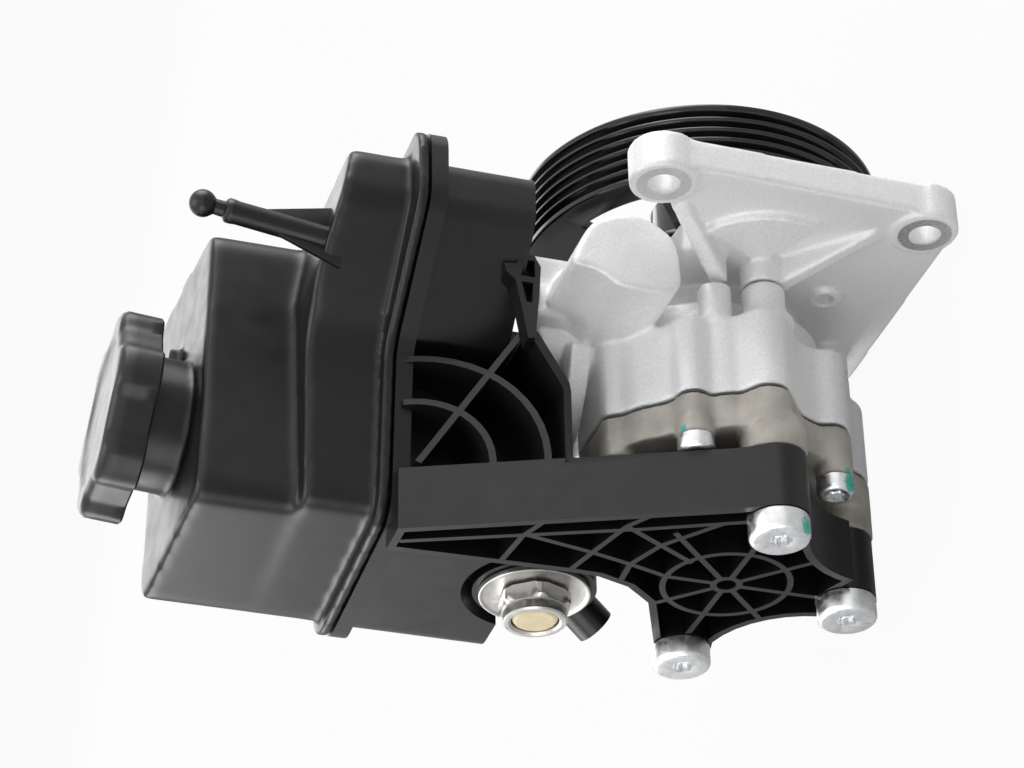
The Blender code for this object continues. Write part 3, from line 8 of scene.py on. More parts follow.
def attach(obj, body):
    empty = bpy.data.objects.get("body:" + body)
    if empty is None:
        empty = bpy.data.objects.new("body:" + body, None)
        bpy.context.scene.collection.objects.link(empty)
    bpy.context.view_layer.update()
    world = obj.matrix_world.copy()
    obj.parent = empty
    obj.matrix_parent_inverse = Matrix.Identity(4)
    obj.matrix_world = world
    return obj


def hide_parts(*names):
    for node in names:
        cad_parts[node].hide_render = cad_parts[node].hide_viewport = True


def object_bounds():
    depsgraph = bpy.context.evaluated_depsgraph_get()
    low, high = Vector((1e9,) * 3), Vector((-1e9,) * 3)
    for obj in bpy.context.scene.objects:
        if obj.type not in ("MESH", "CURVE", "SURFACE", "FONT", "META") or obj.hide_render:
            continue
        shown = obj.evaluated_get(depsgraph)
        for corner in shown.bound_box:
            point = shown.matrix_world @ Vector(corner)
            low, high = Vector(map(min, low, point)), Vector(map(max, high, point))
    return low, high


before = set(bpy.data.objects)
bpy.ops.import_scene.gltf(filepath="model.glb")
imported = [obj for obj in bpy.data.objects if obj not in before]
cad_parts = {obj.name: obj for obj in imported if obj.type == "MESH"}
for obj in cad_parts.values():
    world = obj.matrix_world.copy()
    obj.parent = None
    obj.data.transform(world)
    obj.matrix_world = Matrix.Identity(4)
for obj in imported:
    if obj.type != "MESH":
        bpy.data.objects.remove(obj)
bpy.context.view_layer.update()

# The studio: a camera above and behind the bracket with a long lens, four soft lamps round the
# pump, two more beyond it whose gleam lies on the black plastic, and a white table under it.
EYE = Vector((0.7210, -0.5444, 0.2990))
EYE_AXES = Matrix(((0.30498, 0.50762, 0.80579), (-0.01682, 0.84884, -0.52838),
                   (-0.95221, 0.14759, 0.26742)))
MIDDLE = Vector((0.0, -0.07, 0.045))
WHITE = (1.0, 1.0, 1.0, 1.0)
SKY_LIGHT = 0.25
TABLE_HALF = 6.0
TABLE_GAP = 0.0005
TABLE_GLOW = 0.94

camera = bpy.data.objects.new("camera", bpy.data.cameras.new("camera"))
camera.data.lens = 110.6
camera.data.sensor_width = 36.0
camera.data.clip_start = 0.05
camera.data.clip_end = 50.0
camera.matrix_world = Matrix.Translation(EYE) @ EYE_AXES.to_4x4()
bpy.context.scene.camera = camera


def link(thing):
    bpy.context.scene.collection.objects.link(thing)
    return thing


def add_node(tree, kind, values=None, **settings):
    """A shader node with these settings, then these values on its inputs."""
    made = tree.nodes.new(kind)
    for name, setting in settings.items():
        setattr(made, name, setting)
    for name, value in (values or {}).items():
        made.inputs[name].default_value = value
    return made


link(camera)
for name, direction, distance, size, watts in (
        ("key_lamp", (0.40, 1.0, 0.30), 1.2, 0.9, 13.0),
        ("front_lamp", (0.85, -0.30, 0.55), 1.4, 1.0, 1.0),
        ("left_lamp", (0.05, -0.10, 1.0), 1.3, 0.9, 6.0),
        ("low_lamp", (0.20, -1.0, 0.10), 1.3, 0.9, 6.0),
        ("rear_lamp", (-0.75, -0.62, 0.12), 1.3, 0.9, 12.0),
        ("back_lamp", (-0.90, 0.50, 0.35), 1.4, 0.9, 4.3)):
    lamp = bpy.data.lights.new(name, "AREA")
    lamp.size = size
    lamp.energy = watts
    toward = Vector(direction).normalized()
    holder = link(bpy.data.objects.new(name, lamp))
    holder.matrix_world = (Matrix.Translation(MIDDLE + toward * distance)
                           @ toward.to_track_quat("Z", "Y").to_matrix().to_4x4())

# the sky is white where the camera, a gloss or a clear surface sees it, and dimmer as light
world = bpy.data.worlds.new("studio")
world.use_nodes = True
bpy.context.scene.world = world
nodes, links = world.node_tree.nodes, world.node_tree.links
sky = nodes["Background"]
sky.inputs["Color"].default_value = WHITE
rays = nodes.new("ShaderNodeLightPath")
seen = rays.outputs["Is Camera Ray"]
for kind in ("Is Glossy Ray", "Is Transmission Ray"):
    either = add_node(world.node_tree, "ShaderNodeMath", operation="MAXIMUM")
    links.new(seen, either.inputs[0])
    links.new(rays.outputs[kind], either.inputs[1])
    seen = either.outputs[0]
level = add_node(world.node_tree, "ShaderNodeMapRange", {"To Min": SKY_LIGHT, "To Max": 1.0})
links.new(seen, level.inputs["Value"])
links.new(level.outputs["Result"], sky.inputs["Strength"])

# the table glows for the camera alone, just short of white, so the pump's shadow still shows
table_shape = bmesh.new()
bmesh.ops.create_grid(table_shape, x_segments=1, y_segments=1, size=TABLE_HALF)
table_shape.transform(Matrix.Translation((0.0, 0.0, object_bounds()[0][2] - TABLE_GAP)))
table = bpy.data.objects.new("table", bpy.data.meshes.new("table"))
table_shape.to_mesh(table.data)
table_shape.free()
table_paint = bpy.data.materials.new("table_paint")
table_paint.use_nodes = True
nodes, links = table_paint.node_tree.nodes, table_paint.node_tree.links
matt = nodes["Principled BSDF"]
matt.inputs["Base Color"].default_value = (0.6, 0.6, 0.6, 1.0)
matt.inputs["Roughness"].default_value = 0.9
matt.inputs["Specular IOR Level"].default_value = 0.0
glow = add_node(table_paint.node_tree, "ShaderNodeEmission", {"Color": WHITE})
blend = nodes.new("ShaderNodeMixShader")
share = add_node(table_paint.node_tree, "ShaderNodeMath", {1: TABLE_GLOW}, operation="MULTIPLY")
links.new(nodes.new("ShaderNodeLightPath").outputs["Is Camera Ray"], share.inputs[0])
links.new(share.outputs[0], blend.inputs["Fac"])
links.new(matt.outputs["BSDF"], blend.inputs[1])
links.new(glow.outputs["Emission"], blend.inputs[2])
links.new(blend.outputs["Shader"], nodes["Material Output"].inputs["Surface"])
table.data.materials.append(table_paint)
link(table)
bpy.context.scene.view_settings.view_transform = "Standard"


# The drive shaft, the vane pump's rotor set and its two side plates: ground steel, a little
# brighter along the grinding lines. They run inside the castings, so only the shaft's nose
# and its centre hole show, in the middle of the pulley.
GRINDING = (900.0, 3.0, (1.0, 0.06, 1.0))


def grain(material, scale, detail=4.0, stretch=(1.0, 1.0, 1.0)):
    """Noise in the piece's own space; returns its value from 0 to 1."""
    tree = material.node_tree
    turn = add_node(tree, "ShaderNodeMapping", {"Scale": stretch})
    noise = add_node(tree, "ShaderNodeTexNoise", {"Scale": scale, "Detail": detail})
    tree.links.new(tree.nodes["Texture Coordinate"].outputs["Object"], turn.inputs["Vector"])
    tree.links.new(turn.outputs["Vector"], noise.inputs["Vector"])
    return noise.outputs["Fac"]


def spread(material, value, low, high, at_low=0.3, at_high=0.7):
    """Stretch a noise value between two levels."""
    ranged = add_node(material.node_tree, "ShaderNodeMapRange",
                      {"From Min": at_low, "From Max": at_high, "To Min": low, "To Max": high})
    material.node_tree.links.new(value, ranged.inputs["Value"])
    return ranged.outputs["Result"]


def two_tone(material, value, first, second):
    """Move the base colour between two by a value."""
    tree = material.node_tree
    ramp = tree.nodes.new("ShaderNodeValToRGB")
    for element, colour in zip(ramp.color_ramp.elements, (first, second)):
        element.color = (*colour, 1.0)
    tree.links.new(value, ramp.inputs["Fac"])
    tree.links.new(ramp.outputs["Color"], tree.nodes["Principled BSDF"].inputs["Base Color"])


def raised(material, value, height):
    """A bump of this height from a value, on top of the bumps made before."""
    tree = material.node_tree
    normal = tree.nodes["Principled BSDF"].inputs["Normal"]
    bump = add_node(tree, "ShaderNodeBump", {"Distance": height, "Strength": 1.0})
    if normal.is_linked:
        tree.links.new(normal.links[0].from_socket, bump.inputs["Normal"])
    tree.links.new(value, bump.inputs["Height"])
    tree.links.new(bump.outputs["Normal"], normal)


def surface(name, colour, roughness, metallic, tones=None, rough=None, bumps=()):
    """A finish: tones (two colours, grain), rough (low, high, grain), bumps (height, grain)."""
    material = bpy.data.materials.new(name)
    material.use_nodes = True
    tree = material.node_tree
    shader = tree.nodes["Principled BSDF"]
    shader.inputs["Base Color"].default_value = (*colour, 1.0)
    shader.inputs["Roughness"].default_value = roughness
    shader.inputs["Metallic"].default_value = metallic
    tree.nodes.new("ShaderNodeTexCoord")
    if tones:
        first, second, *noise = tones
        two_tone(material, spread(material, grain(material, *noise), 0.0, 1.0), first, second)
    if rough:
        low, high, *noise = rough
        tree.links.new(spread(material, grain(material, *noise), low, high), shader.inputs["Roughness"])
    for height, *noise in bumps:
        raised(material, grain(material, *noise), height)
    return material


def dress(material, *names):
    """Give the CAD nodes with these names their finish."""
    for name in names:
        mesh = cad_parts[name].data
        mesh.materials.clear()
        mesh.materials.append(material)


steel = surface("ground_steel", (0.62, 0.62, 0.63), 0.25, 1.0,
                rough=(0.2, 0.36, *GRINDING), bumps=[(0.00001, *GRINDING)])
dress(steel, "drive_shaft", "cam_ring", "rotor", "front_pressure_plate", "rear_pressure_plate",
      "dowel_pin_1", "dowel_pin_2", "flow_spool", "spool_spring")
dress(steel, *["vane_%d" % number for number in range(1, 11)])


# The plain bearings, one in the flange and one in the cover: bronze bushes pressed in and
# reamed to size, with fine rings from the reamer.
bronze = surface("bush_bronze", (0.5, 0.34, 0.18), 0.34, 1.0,
                 bumps=[(0.00002, 500.0, 3.0, (0.05, 1.0, 0.05))])
dress(bronze, "front_bush", "rear_bush")


# Pulley: a steel cup turned and spun with six V grooves, four windows pressed through its web,
# painted gloss black and pushed on the shaft.
MM = 0.001
PULLEY_WIDTH = 24.4 * MM
PULLEY_RIM = 54.0 * MM
GROOVES = 6
GROOVE_PITCH = 3.56 * MM
GROOVE_DEPTH = 2.6 * MM
RIM_INSIDE = 47.0 * MM
WEB_FRONT = 20.9 * MM
WINDOW_INSIDE = 23.0 * MM
WINDOW_OUTSIDE = 45.4 * MM
WINDOW_SPAN = 34.0
FIRST_WINDOW = 54.0


def place_piece(name, mesh, body, slot, material, *stands_for):
    """Put a finished mesh on its body, in the place of the CAD nodes that it stands for."""
    piece = link(bpy.data.objects.new(name, mesh))
    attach(piece, body)
    if stands_for:
        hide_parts(*stands_for)
    mesh.materials.append(material)
    dress(material, *stands_for)
    return piece


def spun(outline, steps, closed=True):
    """Spin an outline of (radius, depth) points once round the pump's axis."""
    shape = bmesh.new()
    points = [shape.verts.new((radius, -depth, 0.0)) for radius, depth in outline]
    pairs = list(zip(points, points[1:]))
    if closed:
        pairs.append((points[-1], points[0]))
    edges = [shape.edges.new(pair) for pair in pairs]
    bmesh.ops.spin(shape, geom=points + edges, cent=(0.0, 0.0, 0.0), axis=(0.0, 1.0, 0.0),
                   angle=2 * math.pi, steps=steps, use_merge=True)
    bmesh.ops.remove_doubles(shape, verts=shape.verts, dist=0.000002)
    bmesh.ops.recalc_face_normals(shape, faces=shape.faces)
    return shape


def break_edges(shape, width, least=28.0, segments=2):
    """Round off every edge sharper than this many degrees."""
    limit = math.radians(least)
    edges = [edge for edge in shape.edges if edge.is_manifold and edge.calc_face_angle(0.0) > limit]
    bmesh.ops.bevel(shape, geom=edges, offset=width, segments=segments, profile=0.5, affect="EDGES",
                    material=-1, clamp_overlap=True)


def finished(shape, name, sharp=40.0):
    """Turn a bmesh into a smooth-shaded mesh."""
    mesh = bpy.data.meshes.new(name)
    shape.to_mesh(mesh)
    shape.free()
    mesh.shade_smooth()
    mesh.set_sharp_from_angle(angle=math.radians(sharp))
    return mesh


def grooved_rim():
    """The rim's outer side, front to rear, as (radius, depth)."""
    start = (PULLEY_WIDTH - GROOVES * GROOVE_PITCH) / 2
    land, floor = 0.00042, 0.00028
    line = [(PULLEY_RIM - 0.0004, 0.0), (PULLEY_RIM, 0.0004)]
    for number in range(GROOVES):
        left = start + number * GROOVE_PITCH
        middle = left + GROOVE_PITCH / 2
        line += [(PULLEY_RIM, left + land), (PULLEY_RIM - GROOVE_DEPTH, middle - floor),
                 (PULLEY_RIM - GROOVE_DEPTH, middle + floor), (PULLEY_RIM, left + GROOVE_PITCH - land)]
    return line + [(PULLEY_RIM, PULLEY_WIDTH - 0.0004), (PULLEY_RIM - 0.0004, PULLEY_WIDTH)]


def open_windows(shape):
    """Press the windows through the web and close their edges between its two sides."""
    for number in range(4):
        middle = math.radians(FIRST_WINDOW + 90.0 * number)
        web = []
        for face in shape.faces:
            here = face.calc_center_median()
            reach = math.hypot(here.x, here.z)
            turn = math.remainder(math.atan2(here.z, here.x) - middle, 2 * math.pi)
            in_web = WINDOW_INSIDE < reach < WINDOW_OUTSIDE and -here.y > WEB_FRONT - 0.0001
            if in_web and abs(turn) < math.radians(WINDOW_SPAN / 2):
                web.append(face)
        rim = {edge for face in web for edge in face.edges
               if sum(other in web for other in edge.link_faces) == 1}
        bmesh.ops.delete(shape, geom=web, context="FACES_KEEP_BOUNDARY")
        bmesh.ops.bridge_loops(shape, edges=list(rim))


def pulley_shape():
    outline = grooved_rim()
    outline += [(WINDOW_OUTSIDE, PULLEY_WIDTH), (WINDOW_INSIDE, PULLEY_WIDTH), (0.0083, PULLEY_WIDTH),
                (0.0083, 0.0015), (0.0140, 0.0015), (0.0140, WEB_FRONT - 0.0020), (0.0160, WEB_FRONT),
                (WINDOW_INSIDE, WEB_FRONT), (WINDOW_OUTSIDE - 0.0001, WEB_FRONT), (0.0457, WEB_FRONT),
                (RIM_INSIDE, WEB_FRONT - 0.0015), (RIM_INSIDE, 0.0006), (RIM_INSIDE + 0.0006, 0.0)]
    shape = spun(outline, 180)
    open_windows(shape)
    break_edges(shape, 0.00018, 34.0)
    return finished(shape, "belt_pulley")


black_paint = surface("gloss_black_paint", (0.005, 0.005, 0.0055), 0.14, 0.0,
                      rough=(0.1, 0.2, 90.0), bumps=[(0.00003, 260.0, 2.0)])
place_piece("belt_pulley", pulley_shape(), "rotating_group", "pulley_paint", black_paint, "pulley")


# Pump housing and front flange: die-cast aluminium, shot-blasted to an even bright grey. The
# long screws clamp the two together. A casting has no sharp corner, so each is shaped
# plainly first with its edges and inner corners rounded off.
def in_millimetres(points):
    return [tuple(part * MM for part in point) for point in points]


AXIS = (0.0, 0.0)
SEAT_GAP = 0.3 * MM
RUNNING_GAP = 0.15 * MM
JOURNAL_RADIUS = 10.0 * MM
# The three long screws that hold bracket, cover, housing and front flange together (x, z)
LONG_SCREWS = in_millimetres([(39.0, -2.5), (0.8, -38.3), (-39.0, -3.2)])
LONG_SHANK = 4.0 * MM
LONG_TIP = 38.0 * MM
COLUMN_RADIUS = 6.2 * MM
# The five short screws that hold the rear cover (x, z), the first outside the bracket
COVER_SCREWS = in_millimetres([(28.4, -25.0), (35.4, 18.8), (16.3, 34.6),
                               (-25.0, -27.0), (-30.5, 19.0)])
COVER_SHANK = 3.0 * MM
COVER_TIP = 72.0 * MM
# The cast rim that housing, gasket and cover share, in millimetres (x, z): the near side, then the far side
RIM_NEAR = [(14.1, 39.1), (16.8, 39.7), (19.2, 39.1), (21.0, 36.7), (21.8, 35.0), (26.9, 31.5), (28.8, 28.7),
            (32.9, 24.3), (36.3, 23.8), (38.5, 22.6), (40.0, 20.2), (39.8, 17.2), (38.4, 14.6), (40.9, 11.7),
            (42.2, 7.2), (44.7, 5.8), (47.4, 4.0), (48.7, 1.5), (49.0, -1.3), (48.1, -3.7), (46.4, -5.6),
            (37.3, -12.0), (35.6, -13.6), (34.1, -16.3), (32.7, -19.3), (32.8, -21.4), (33.9, -24.3),
            (33.0, -27.6), (30.6, -30.0)]
RIM_FAR = [(27.5, -31.5), (22.0, -33.0), (14.0, -36.2), (10.3, -40.5), (8.5, -44.0), (4.5, -47.0), (0.8, -47.8),
           (-3.5, -46.8), (-7.2, -43.8), (-9.0, -40.0), (-13.0, -36.5), (-19.0, -34.2), (-25.0, -34.0),
           (-30.2, -32.0), (-32.4, -27.0), (-32.2, -22.0), (-34.2, -16.0), (-38.0, -12.8), (-43.5, -11.5),
           (-47.4, -8.0), (-48.6, -3.2), (-47.5, 1.5), (-44.0, 5.3), (-39.0, 6.3), (-36.2, 11.0), (-36.8, 18.0),
           (-35.4, 24.0), (-31.5, 26.0), (-25.0, 25.6), (-15.0, 31.2), (-6.0, 39.0), (4.0, 39.6)]
# Front flange with the engine mounting bosses (x, z)
ENGINE_BOSSES = in_millimetres([(69.3, 37.9), (66.9, -40.8), (-52.0, -38.0)])
BOSS_RADIUS = 9.6 * MM
BOSS_HOLE = 4.6 * MM
BOSS_FRONT = 33.5 * MM
BOSS_REAR = 45.0 * MM
PLATE_FRONT = 34.2 * MM
PLATE_REAR = 44.0 * MM
HUB_FRONT = 28.0 * MM
HUB_RADIUS = 27.0 * MM
FLANGE_REAR = 53.0 * MM
SMALL_BOSS = (28.5 * MM, -26.5 * MM)
SMALL_BOSS_RADIUS = 4.9 * MM
SMALL_BOSS_HOLE = 2.6 * MM
RIB_WIDTH = 5.0 * MM
RIB_LINES = [((38.0, 10.0), (61.0, 30.5)), ((42.0, -7.8), (62.5, -29.0))]
PAD_OUTLINE = [(41.0, -1.0)] + [(41.0 + 23.5 * math.cos(math.radians(turn)),
                                 -1.0 + 23.5 * math.sin(math.radians(turn))) for turn in range(-25, 61, 5)]
PAD_REAR = 46.2 * MM
SEAL_RADIUS = 17.0 * MM
SEAL_WIDTH = 7.0 * MM
BUSH_WALL = 2.0 * MM
# Pump housing
HOUSING_FRONT = FLANGE_REAR + SEAT_GAP
FLUTES_START = 65.0 * MM
HOUSING_REAR = 89.8 * MM
HOUSING_NECK = 33.0 * MM
SHOULDER_START = 61.0 * MM
SHOULDER_RADIUS = 9.0 * MM
SMALL_POST = (36.5 * MM, 11.3 * MM)
SMALL_POST_RADIUS = 4.8 * MM
CAVITY_START = 60.0 * MM
CAVITY_RADIUS = 30.3 * MM
# Its valve boss, a half-round nose seen from the side, in millimetres (depth, z)
VALVE_BOSS = [(65.7, 25.1), (52.2, 25.6), (47.3, 27.0), (45.0, 28.9), (42.3, 32.7), (40.8, 37.1), (41.5, 43.0),
              (43.7, 48.1), (46.0, 51.4), (50.9, 54.2), (58.0, 57.0), (60.6, 57.0), (60.6, 51.6), (62.1, 48.2),
              (64.2, 45.3), (65.7, 42.5)]
VALVE_BOSS_FACE = 48.0 * MM
VALVE_BOSS_END = -2.0 * MM
# The web from the valve wall to the port arm, in millimetres (x, depth)
PORT_WEB = [(-28.0, 60.0), (21.0, 65.3), (20.0, 72.0), (14.0, 82.0), (6.0, 90.0), (-5.0, 95.5), (-28.0, 95.5)]
PORT_WALL_FRONT = 58.5 * MM
PORT_WALL_REAR = 75.0 * MM
PORT_WALL_LOW = 24.0 * MM
PORT_WALL_HIGH = 47.0 * MM
PORT_WEB_LOW = 42.5 * MM
PORT_WEB_HIGH = 48.9 * MM
VALVE_AXIS = (6.0 * MM, 62.0 * MM)
VALVE_WALL_RADIUS = 10.5 * MM
VALVE_BORE = 7.0 * MM
VALVE_TOP = 56.2 * MM
VALVE_FLOOR = 34.5 * MM
SUCTION_BOSS = (15.0 * MM, 49.0 * MM)
SUCTION_BOSS_RADIUS = 10.0 * MM
SUCTION_FLAT = 20.0 * MM
SUCTION_BULGE = (19.0 * MM, 55.5 * MM)
SUCTION_BULGE_RADIUS = 6.5 * MM
SPIGOT_AXIS = (12.6 * MM, 46.6 * MM)
SPIGOT_NOSE = 6.2 * MM
SPIGOT_BORE = 4.2 * MM
SPIGOT_FLOOR = 41.0 * MM
SPIGOT_SHOULDER = 60.5 * MM
SPIGOT_TIP = 66.0 * MM
# Pressure port, its arm on the housing and the union screwed in from the rear
PORT_AXIS = (-28.2 * MM, 44.9 * MM)
PORT_ARM_RADIUS = 13.0 * MM
PORT_ARM_REAR = 95.5 * MM
UNION_SHANK = 7.2 * MM
UNION_TIP = 82.0 * MM
SLEEVE_BORE = 4.6 * MM
# Facets round a full turn: large forms, ordinary ones and small ones
WIDE = 72
SEGMENTS = 40
NARROW = 24
# An outline of (x, z) extruded along the pump axis: its third coordinate becomes the depth
TO_DEPTH = Matrix(((1, 0, 0, 0), (0, 0, -1, 0), (0, 1, 0, 0), (0, 0, 0, 1)))
# An outline of (y, z) extruded along X
TO_SIDE = Matrix(((0, 0, 1, 0), (1, 0, 0, 0), (0, 1, 0, 0), (0, 0, 0, 1)))


def from_bmesh(bm):
    mesh = bpy.data.meshes.new("shape")
    bm.to_mesh(mesh)
    bm.free()
    return link(bpy.data.objects.new("shape", mesh))


def evaluated_mesh(obj):
    graph = bpy.context.evaluated_depsgraph_get()
    graph.update()
    return bpy.data.meshes.new_from_object(obj.evaluated_get(graph), depsgraph=graph)


def discard(obj):
    data = obj.data
    bpy.data.objects.remove(obj)
    if isinstance(data, bpy.types.Curve):
        bpy.data.curves.remove(data)
    else:
        bpy.data.meshes.remove(data)


def weld(mesh):
    bm = bmesh.new()
    bm.from_mesh(mesh)
    bmesh.ops.remove_doubles(bm, verts=bm.verts, dist=0.002 * MM)
    bmesh.ops.dissolve_degenerate(bm, edges=bm.edges, dist=0.002 * MM)
    bm.to_mesh(mesh)
    bm.free()


def boolean(target, tool, operation):
    """Apply one exact Boolean to target and use the tool up."""
    modifier = target.modifiers.new(operation.lower(), "BOOLEAN")
    modifier.operation = operation
    modifier.solver = "EXACT"
    modifier.object = tool
    mesh = evaluated_mesh(target)
    target.modifiers.clear()
    old = target.data
    target.data = mesh
    bpy.data.meshes.remove(old)
    discard(tool)
    return target


def unite(target, *tools):
    for tool in tools:
        boolean(target, tool, "UNION")
    return target


def cut(target, *tools):
    for tool in tools:
        boolean(target, tool, "DIFFERENCE")
    return target


def moved(obj, matrix):
    obj.data.transform(matrix)
    return obj


def cylinder(radius, start, end, segments=SEGMENTS, end_radius=None):
    """A cylinder or cone between two points."""
    start, end = Vector(start), Vector(end)
    along = end - start
    bm = bmesh.new()
    bmesh.ops.create_cone(bm, cap_ends=True, segments=segments, radius1=radius,
                          radius2=radius if end_radius is None else end_radius, depth=along.length)
    turn = along.to_track_quat("Z", "Y").to_matrix().to_4x4()
    bm.transform(Matrix.Translation((start + end) / 2) @ turn)
    return from_bmesh(bm)


def upright(radius, place, low, high, segments=SEGMENTS):
    """A cylinder that stands at (x, depth), between two heights."""
    x, depth = place
    return cylinder(radius, (x, -depth, low), (x, -depth, high), segments)


def post(radius, place, start, end, segments=SEGMENTS, end_radius=None):
    """A cylinder along the pump axis, at (x, z), between two depths."""
    return cylinder(radius, (place[0], -start, place[1]), (place[0], -end, place[1]), segments, end_radius)


def box(low, high):
    low, high = Vector(low), Vector(high)
    bm = bmesh.new()
    bmesh.ops.create_cube(bm, size=1.0)
    size = high - low
    bm.transform(Matrix.Translation((low + high) / 2) @ Matrix.Diagonal((*size, 1.0)))
    return from_bmesh(bm)


def prism(points, low, high):
    """A flat outline in the XY plane, extruded from low to high."""
    curve = bpy.data.curves.new("outline", "CURVE")
    curve.dimensions = "2D"
    curve.fill_mode = "BOTH"
    curve.extrude = (high - low) / 2
    spline = curve.splines.new("POLY")
    spline.points.add(len(points) - 1)
    for point, (x, y) in zip(spline.points, points):
        point.co = (x, y, 0.0, 1.0)
    spline.use_cyclic_u = True
    holder = link(bpy.data.objects.new("outline", curve))
    mesh = evaluated_mesh(holder)
    discard(holder)
    weld(mesh)
    mesh.transform(Matrix.Translation((0, 0, (low + high) / 2)))
    return link(bpy.data.objects.new("prism", mesh))


def drill(target, radius, places, front, rear, segments=NARROW):
    """Round holes along the pump axis at each (x, z), run a little past both depths."""
    for place in places:
        cut(target, post(radius, place, front - 1.0 * MM, rear + 1.0 * MM, segments))


def deep_prism(points, front, rear):
    return moved(prism(points, front, rear), TO_DEPTH)


def side_prism(points, low, high):
    """An outline of (depth, z) extruded along X."""
    return moved(prism([(-depth, z) for depth, z in points], low, high), TO_SIDE)


def rounded(corners, steps=8):
    """The outline through corners (x, y, radius), each corner an arc."""
    points = []
    count = len(corners)
    for index, (x, y, radius) in enumerate(corners):
        corner = Vector((x, y))
        before = (Vector(corners[index - 1][:2]) - corner).normalized()
        after = (Vector(corners[(index + 1) % count][:2]) - corner).normalized()
        half = before.angle(after) / 2
        reach = radius / math.tan(half)
        centre = corner + (before + after).normalized() * (radius / math.sin(half))
        start = corner + before * reach - centre
        end = corner + after * reach - centre
        first = math.atan2(start.y, start.x)
        sweep = math.remainder(math.atan2(end.y, end.x) - first, 2 * math.pi)
        for step in range(steps + 1):
            angle = first + sweep * step / steps
            points.append((centre.x + radius * math.cos(angle), centre.y + radius * math.sin(angle)))
    return points


def offset(corners, distance):
    """Move a polygon's sides outward by distance, and its corner radii with them."""
    area = sum(a[0] * b[1] - b[0] * a[1] for a, b in zip(corners, corners[1:] + corners[:1]))
    side = 1.0 if area > 0 else -1.0
    result = []
    count = len(corners)
    for index, (x, y, radius) in enumerate(corners):
        here = Vector((x, y))
        into = (here - Vector(corners[index - 1][:2])).normalized()
        out = (Vector(corners[(index + 1) % count][:2]) - here).normalized()
        normal_in = Vector((into.y, -into.x)) * side
        normal_out = Vector((out.y, -out.x)) * side
        mitre = (normal_in + normal_out) / (1.0 + normal_in.dot(normal_out))
        turn = into.x * out.y - into.y * out.x
        grown = radius + distance if turn * side > 0 else radius - distance
        moved_corner = here + mitre * distance
        result.append((moved_corner.x, moved_corner.y, max(grown, 1.0 * MM)))
    return result


def lobed_block(columns, front, rear):
    """Columns (place, radius, segments) grown together, with flat ends at two depths."""
    block = None
    for index, (place, radius, segments) in enumerate(columns):
        reach = (1.0 + 0.2 * index) * MM
        column = post(radius, place, front - reach, rear + reach, segments)
        block = column if block is None else unite(block, column)
    return boolean(block, box((-0.2, -rear, -0.2), (0.2, -front, 0.2)), "INTERSECT")


def tangent_plate():
    """The outline of the mounting plate: round the bosses, then in to the hub."""
    upper, lower, inner = ENGINE_BOSSES
    edge = BOSS_RADIUS - 1.0 * MM
    corners = [(upper[0] + edge, upper[1] + edge, 8.5 * MM), (lower[0] + edge, lower[1] - edge, 8.5 * MM),
               (-10.0 * MM, lower[1] - edge - 2.0 * MM, 20.0 * MM), (inner[0], inner[1] - edge, 8.0 * MM),
               (inner[0] - edge, inner[1], 8.0 * MM), (-40.0 * MM, 4.0 * MM, 8.0 * MM),
               (-26.0 * MM, 23.5 * MM, 10.0 * MM), (38.6 * MM, 21.5 * MM, 3.0 * MM),
               (43.0 * MM, 16.5 * MM, 2.0 * MM),
               (51.0 * MM, 22.8 * MM, 12.0 * MM), (60.0 * MM, 31.5 * MM, 3.0 * MM),
               (upper[0] - 6.0 * MM, upper[1] + edge - 6.0 * MM, 6.0 * MM)]
    return rounded(corners)


def build_front_flange():
    flange = post(HUB_RADIUS, AXIS, HUB_FRONT, FLANGE_REAR, WIDE)
    unite(flange, deep_prism(tangent_plate(), PLATE_FRONT, PLATE_REAR))
    for place in ENGINE_BOSSES:
        unite(flange, post(BOSS_RADIUS, place, BOSS_FRONT, BOSS_REAR))
    for place in LONG_SCREWS:
        unite(flange, post(COLUMN_RADIUS, place, PLATE_FRONT - 0.5 * MM, FLANGE_REAR))
    unite(flange, post(SMALL_BOSS_RADIUS, SMALL_BOSS, PLATE_FRONT + 1.0 * MM, PLATE_REAR + 1.6 * MM))
    unite(flange, deep_prism(in_millimetres(PAD_OUTLINE), PLATE_REAR - 1.0 * MM, PAD_REAR))
    unite(flange, *flange_ribs())
    drill(flange, BOSS_HOLE, ENGINE_BOSSES, BOSS_FRONT, BOSS_REAR, SEGMENTS)
    drill(flange, SMALL_BOSS_HOLE, [SMALL_BOSS], PLATE_FRONT, PLATE_REAR + 2.0 * MM)
    drill(flange, LONG_SHANK + SEAT_GAP, LONG_SCREWS, LONG_TIP, FLANGE_REAR)
    seal_rear = HUB_FRONT + SEAL_WIDTH + 1.0 * MM
    cut(flange, post(SEAL_RADIUS + SEAT_GAP, AXIS, HUB_FRONT - 1.0 * MM, seal_rear))
    bush_outer = JOURNAL_RADIUS + RUNNING_GAP + BUSH_WALL + SEAT_GAP
    cut(flange, post(bush_outer, AXIS, HUB_FRONT, FLANGE_REAR + 1.0 * MM))
    return flange


def wedge(place, target, width, front, tall_rear, low_rear):
    """A rib from a column to a point on the plate, falling away along its length."""
    start, end = Vector(place), Vector(target)
    along = end - start
    points = [(0.0, front), (along.length, front), (along.length, low_rear), (0.0, tall_rear)]
    rib = prism(points, -width / 2, width / 2)
    # the rib is drawn in (run, depth) and stood up so that its run follows the plate
    stand = Matrix(((1, 0, 0, 0), (0, -1, 0, 0), (0, 0, 1, 0), (0, 0, 0, 1)))
    turn = Matrix.Rotation(-math.atan2(along.y, along.x), 4, "Y")
    moved(rib, Matrix.Translation((start.x, 0.0, start.y)) @ turn @ stand)
    return rib


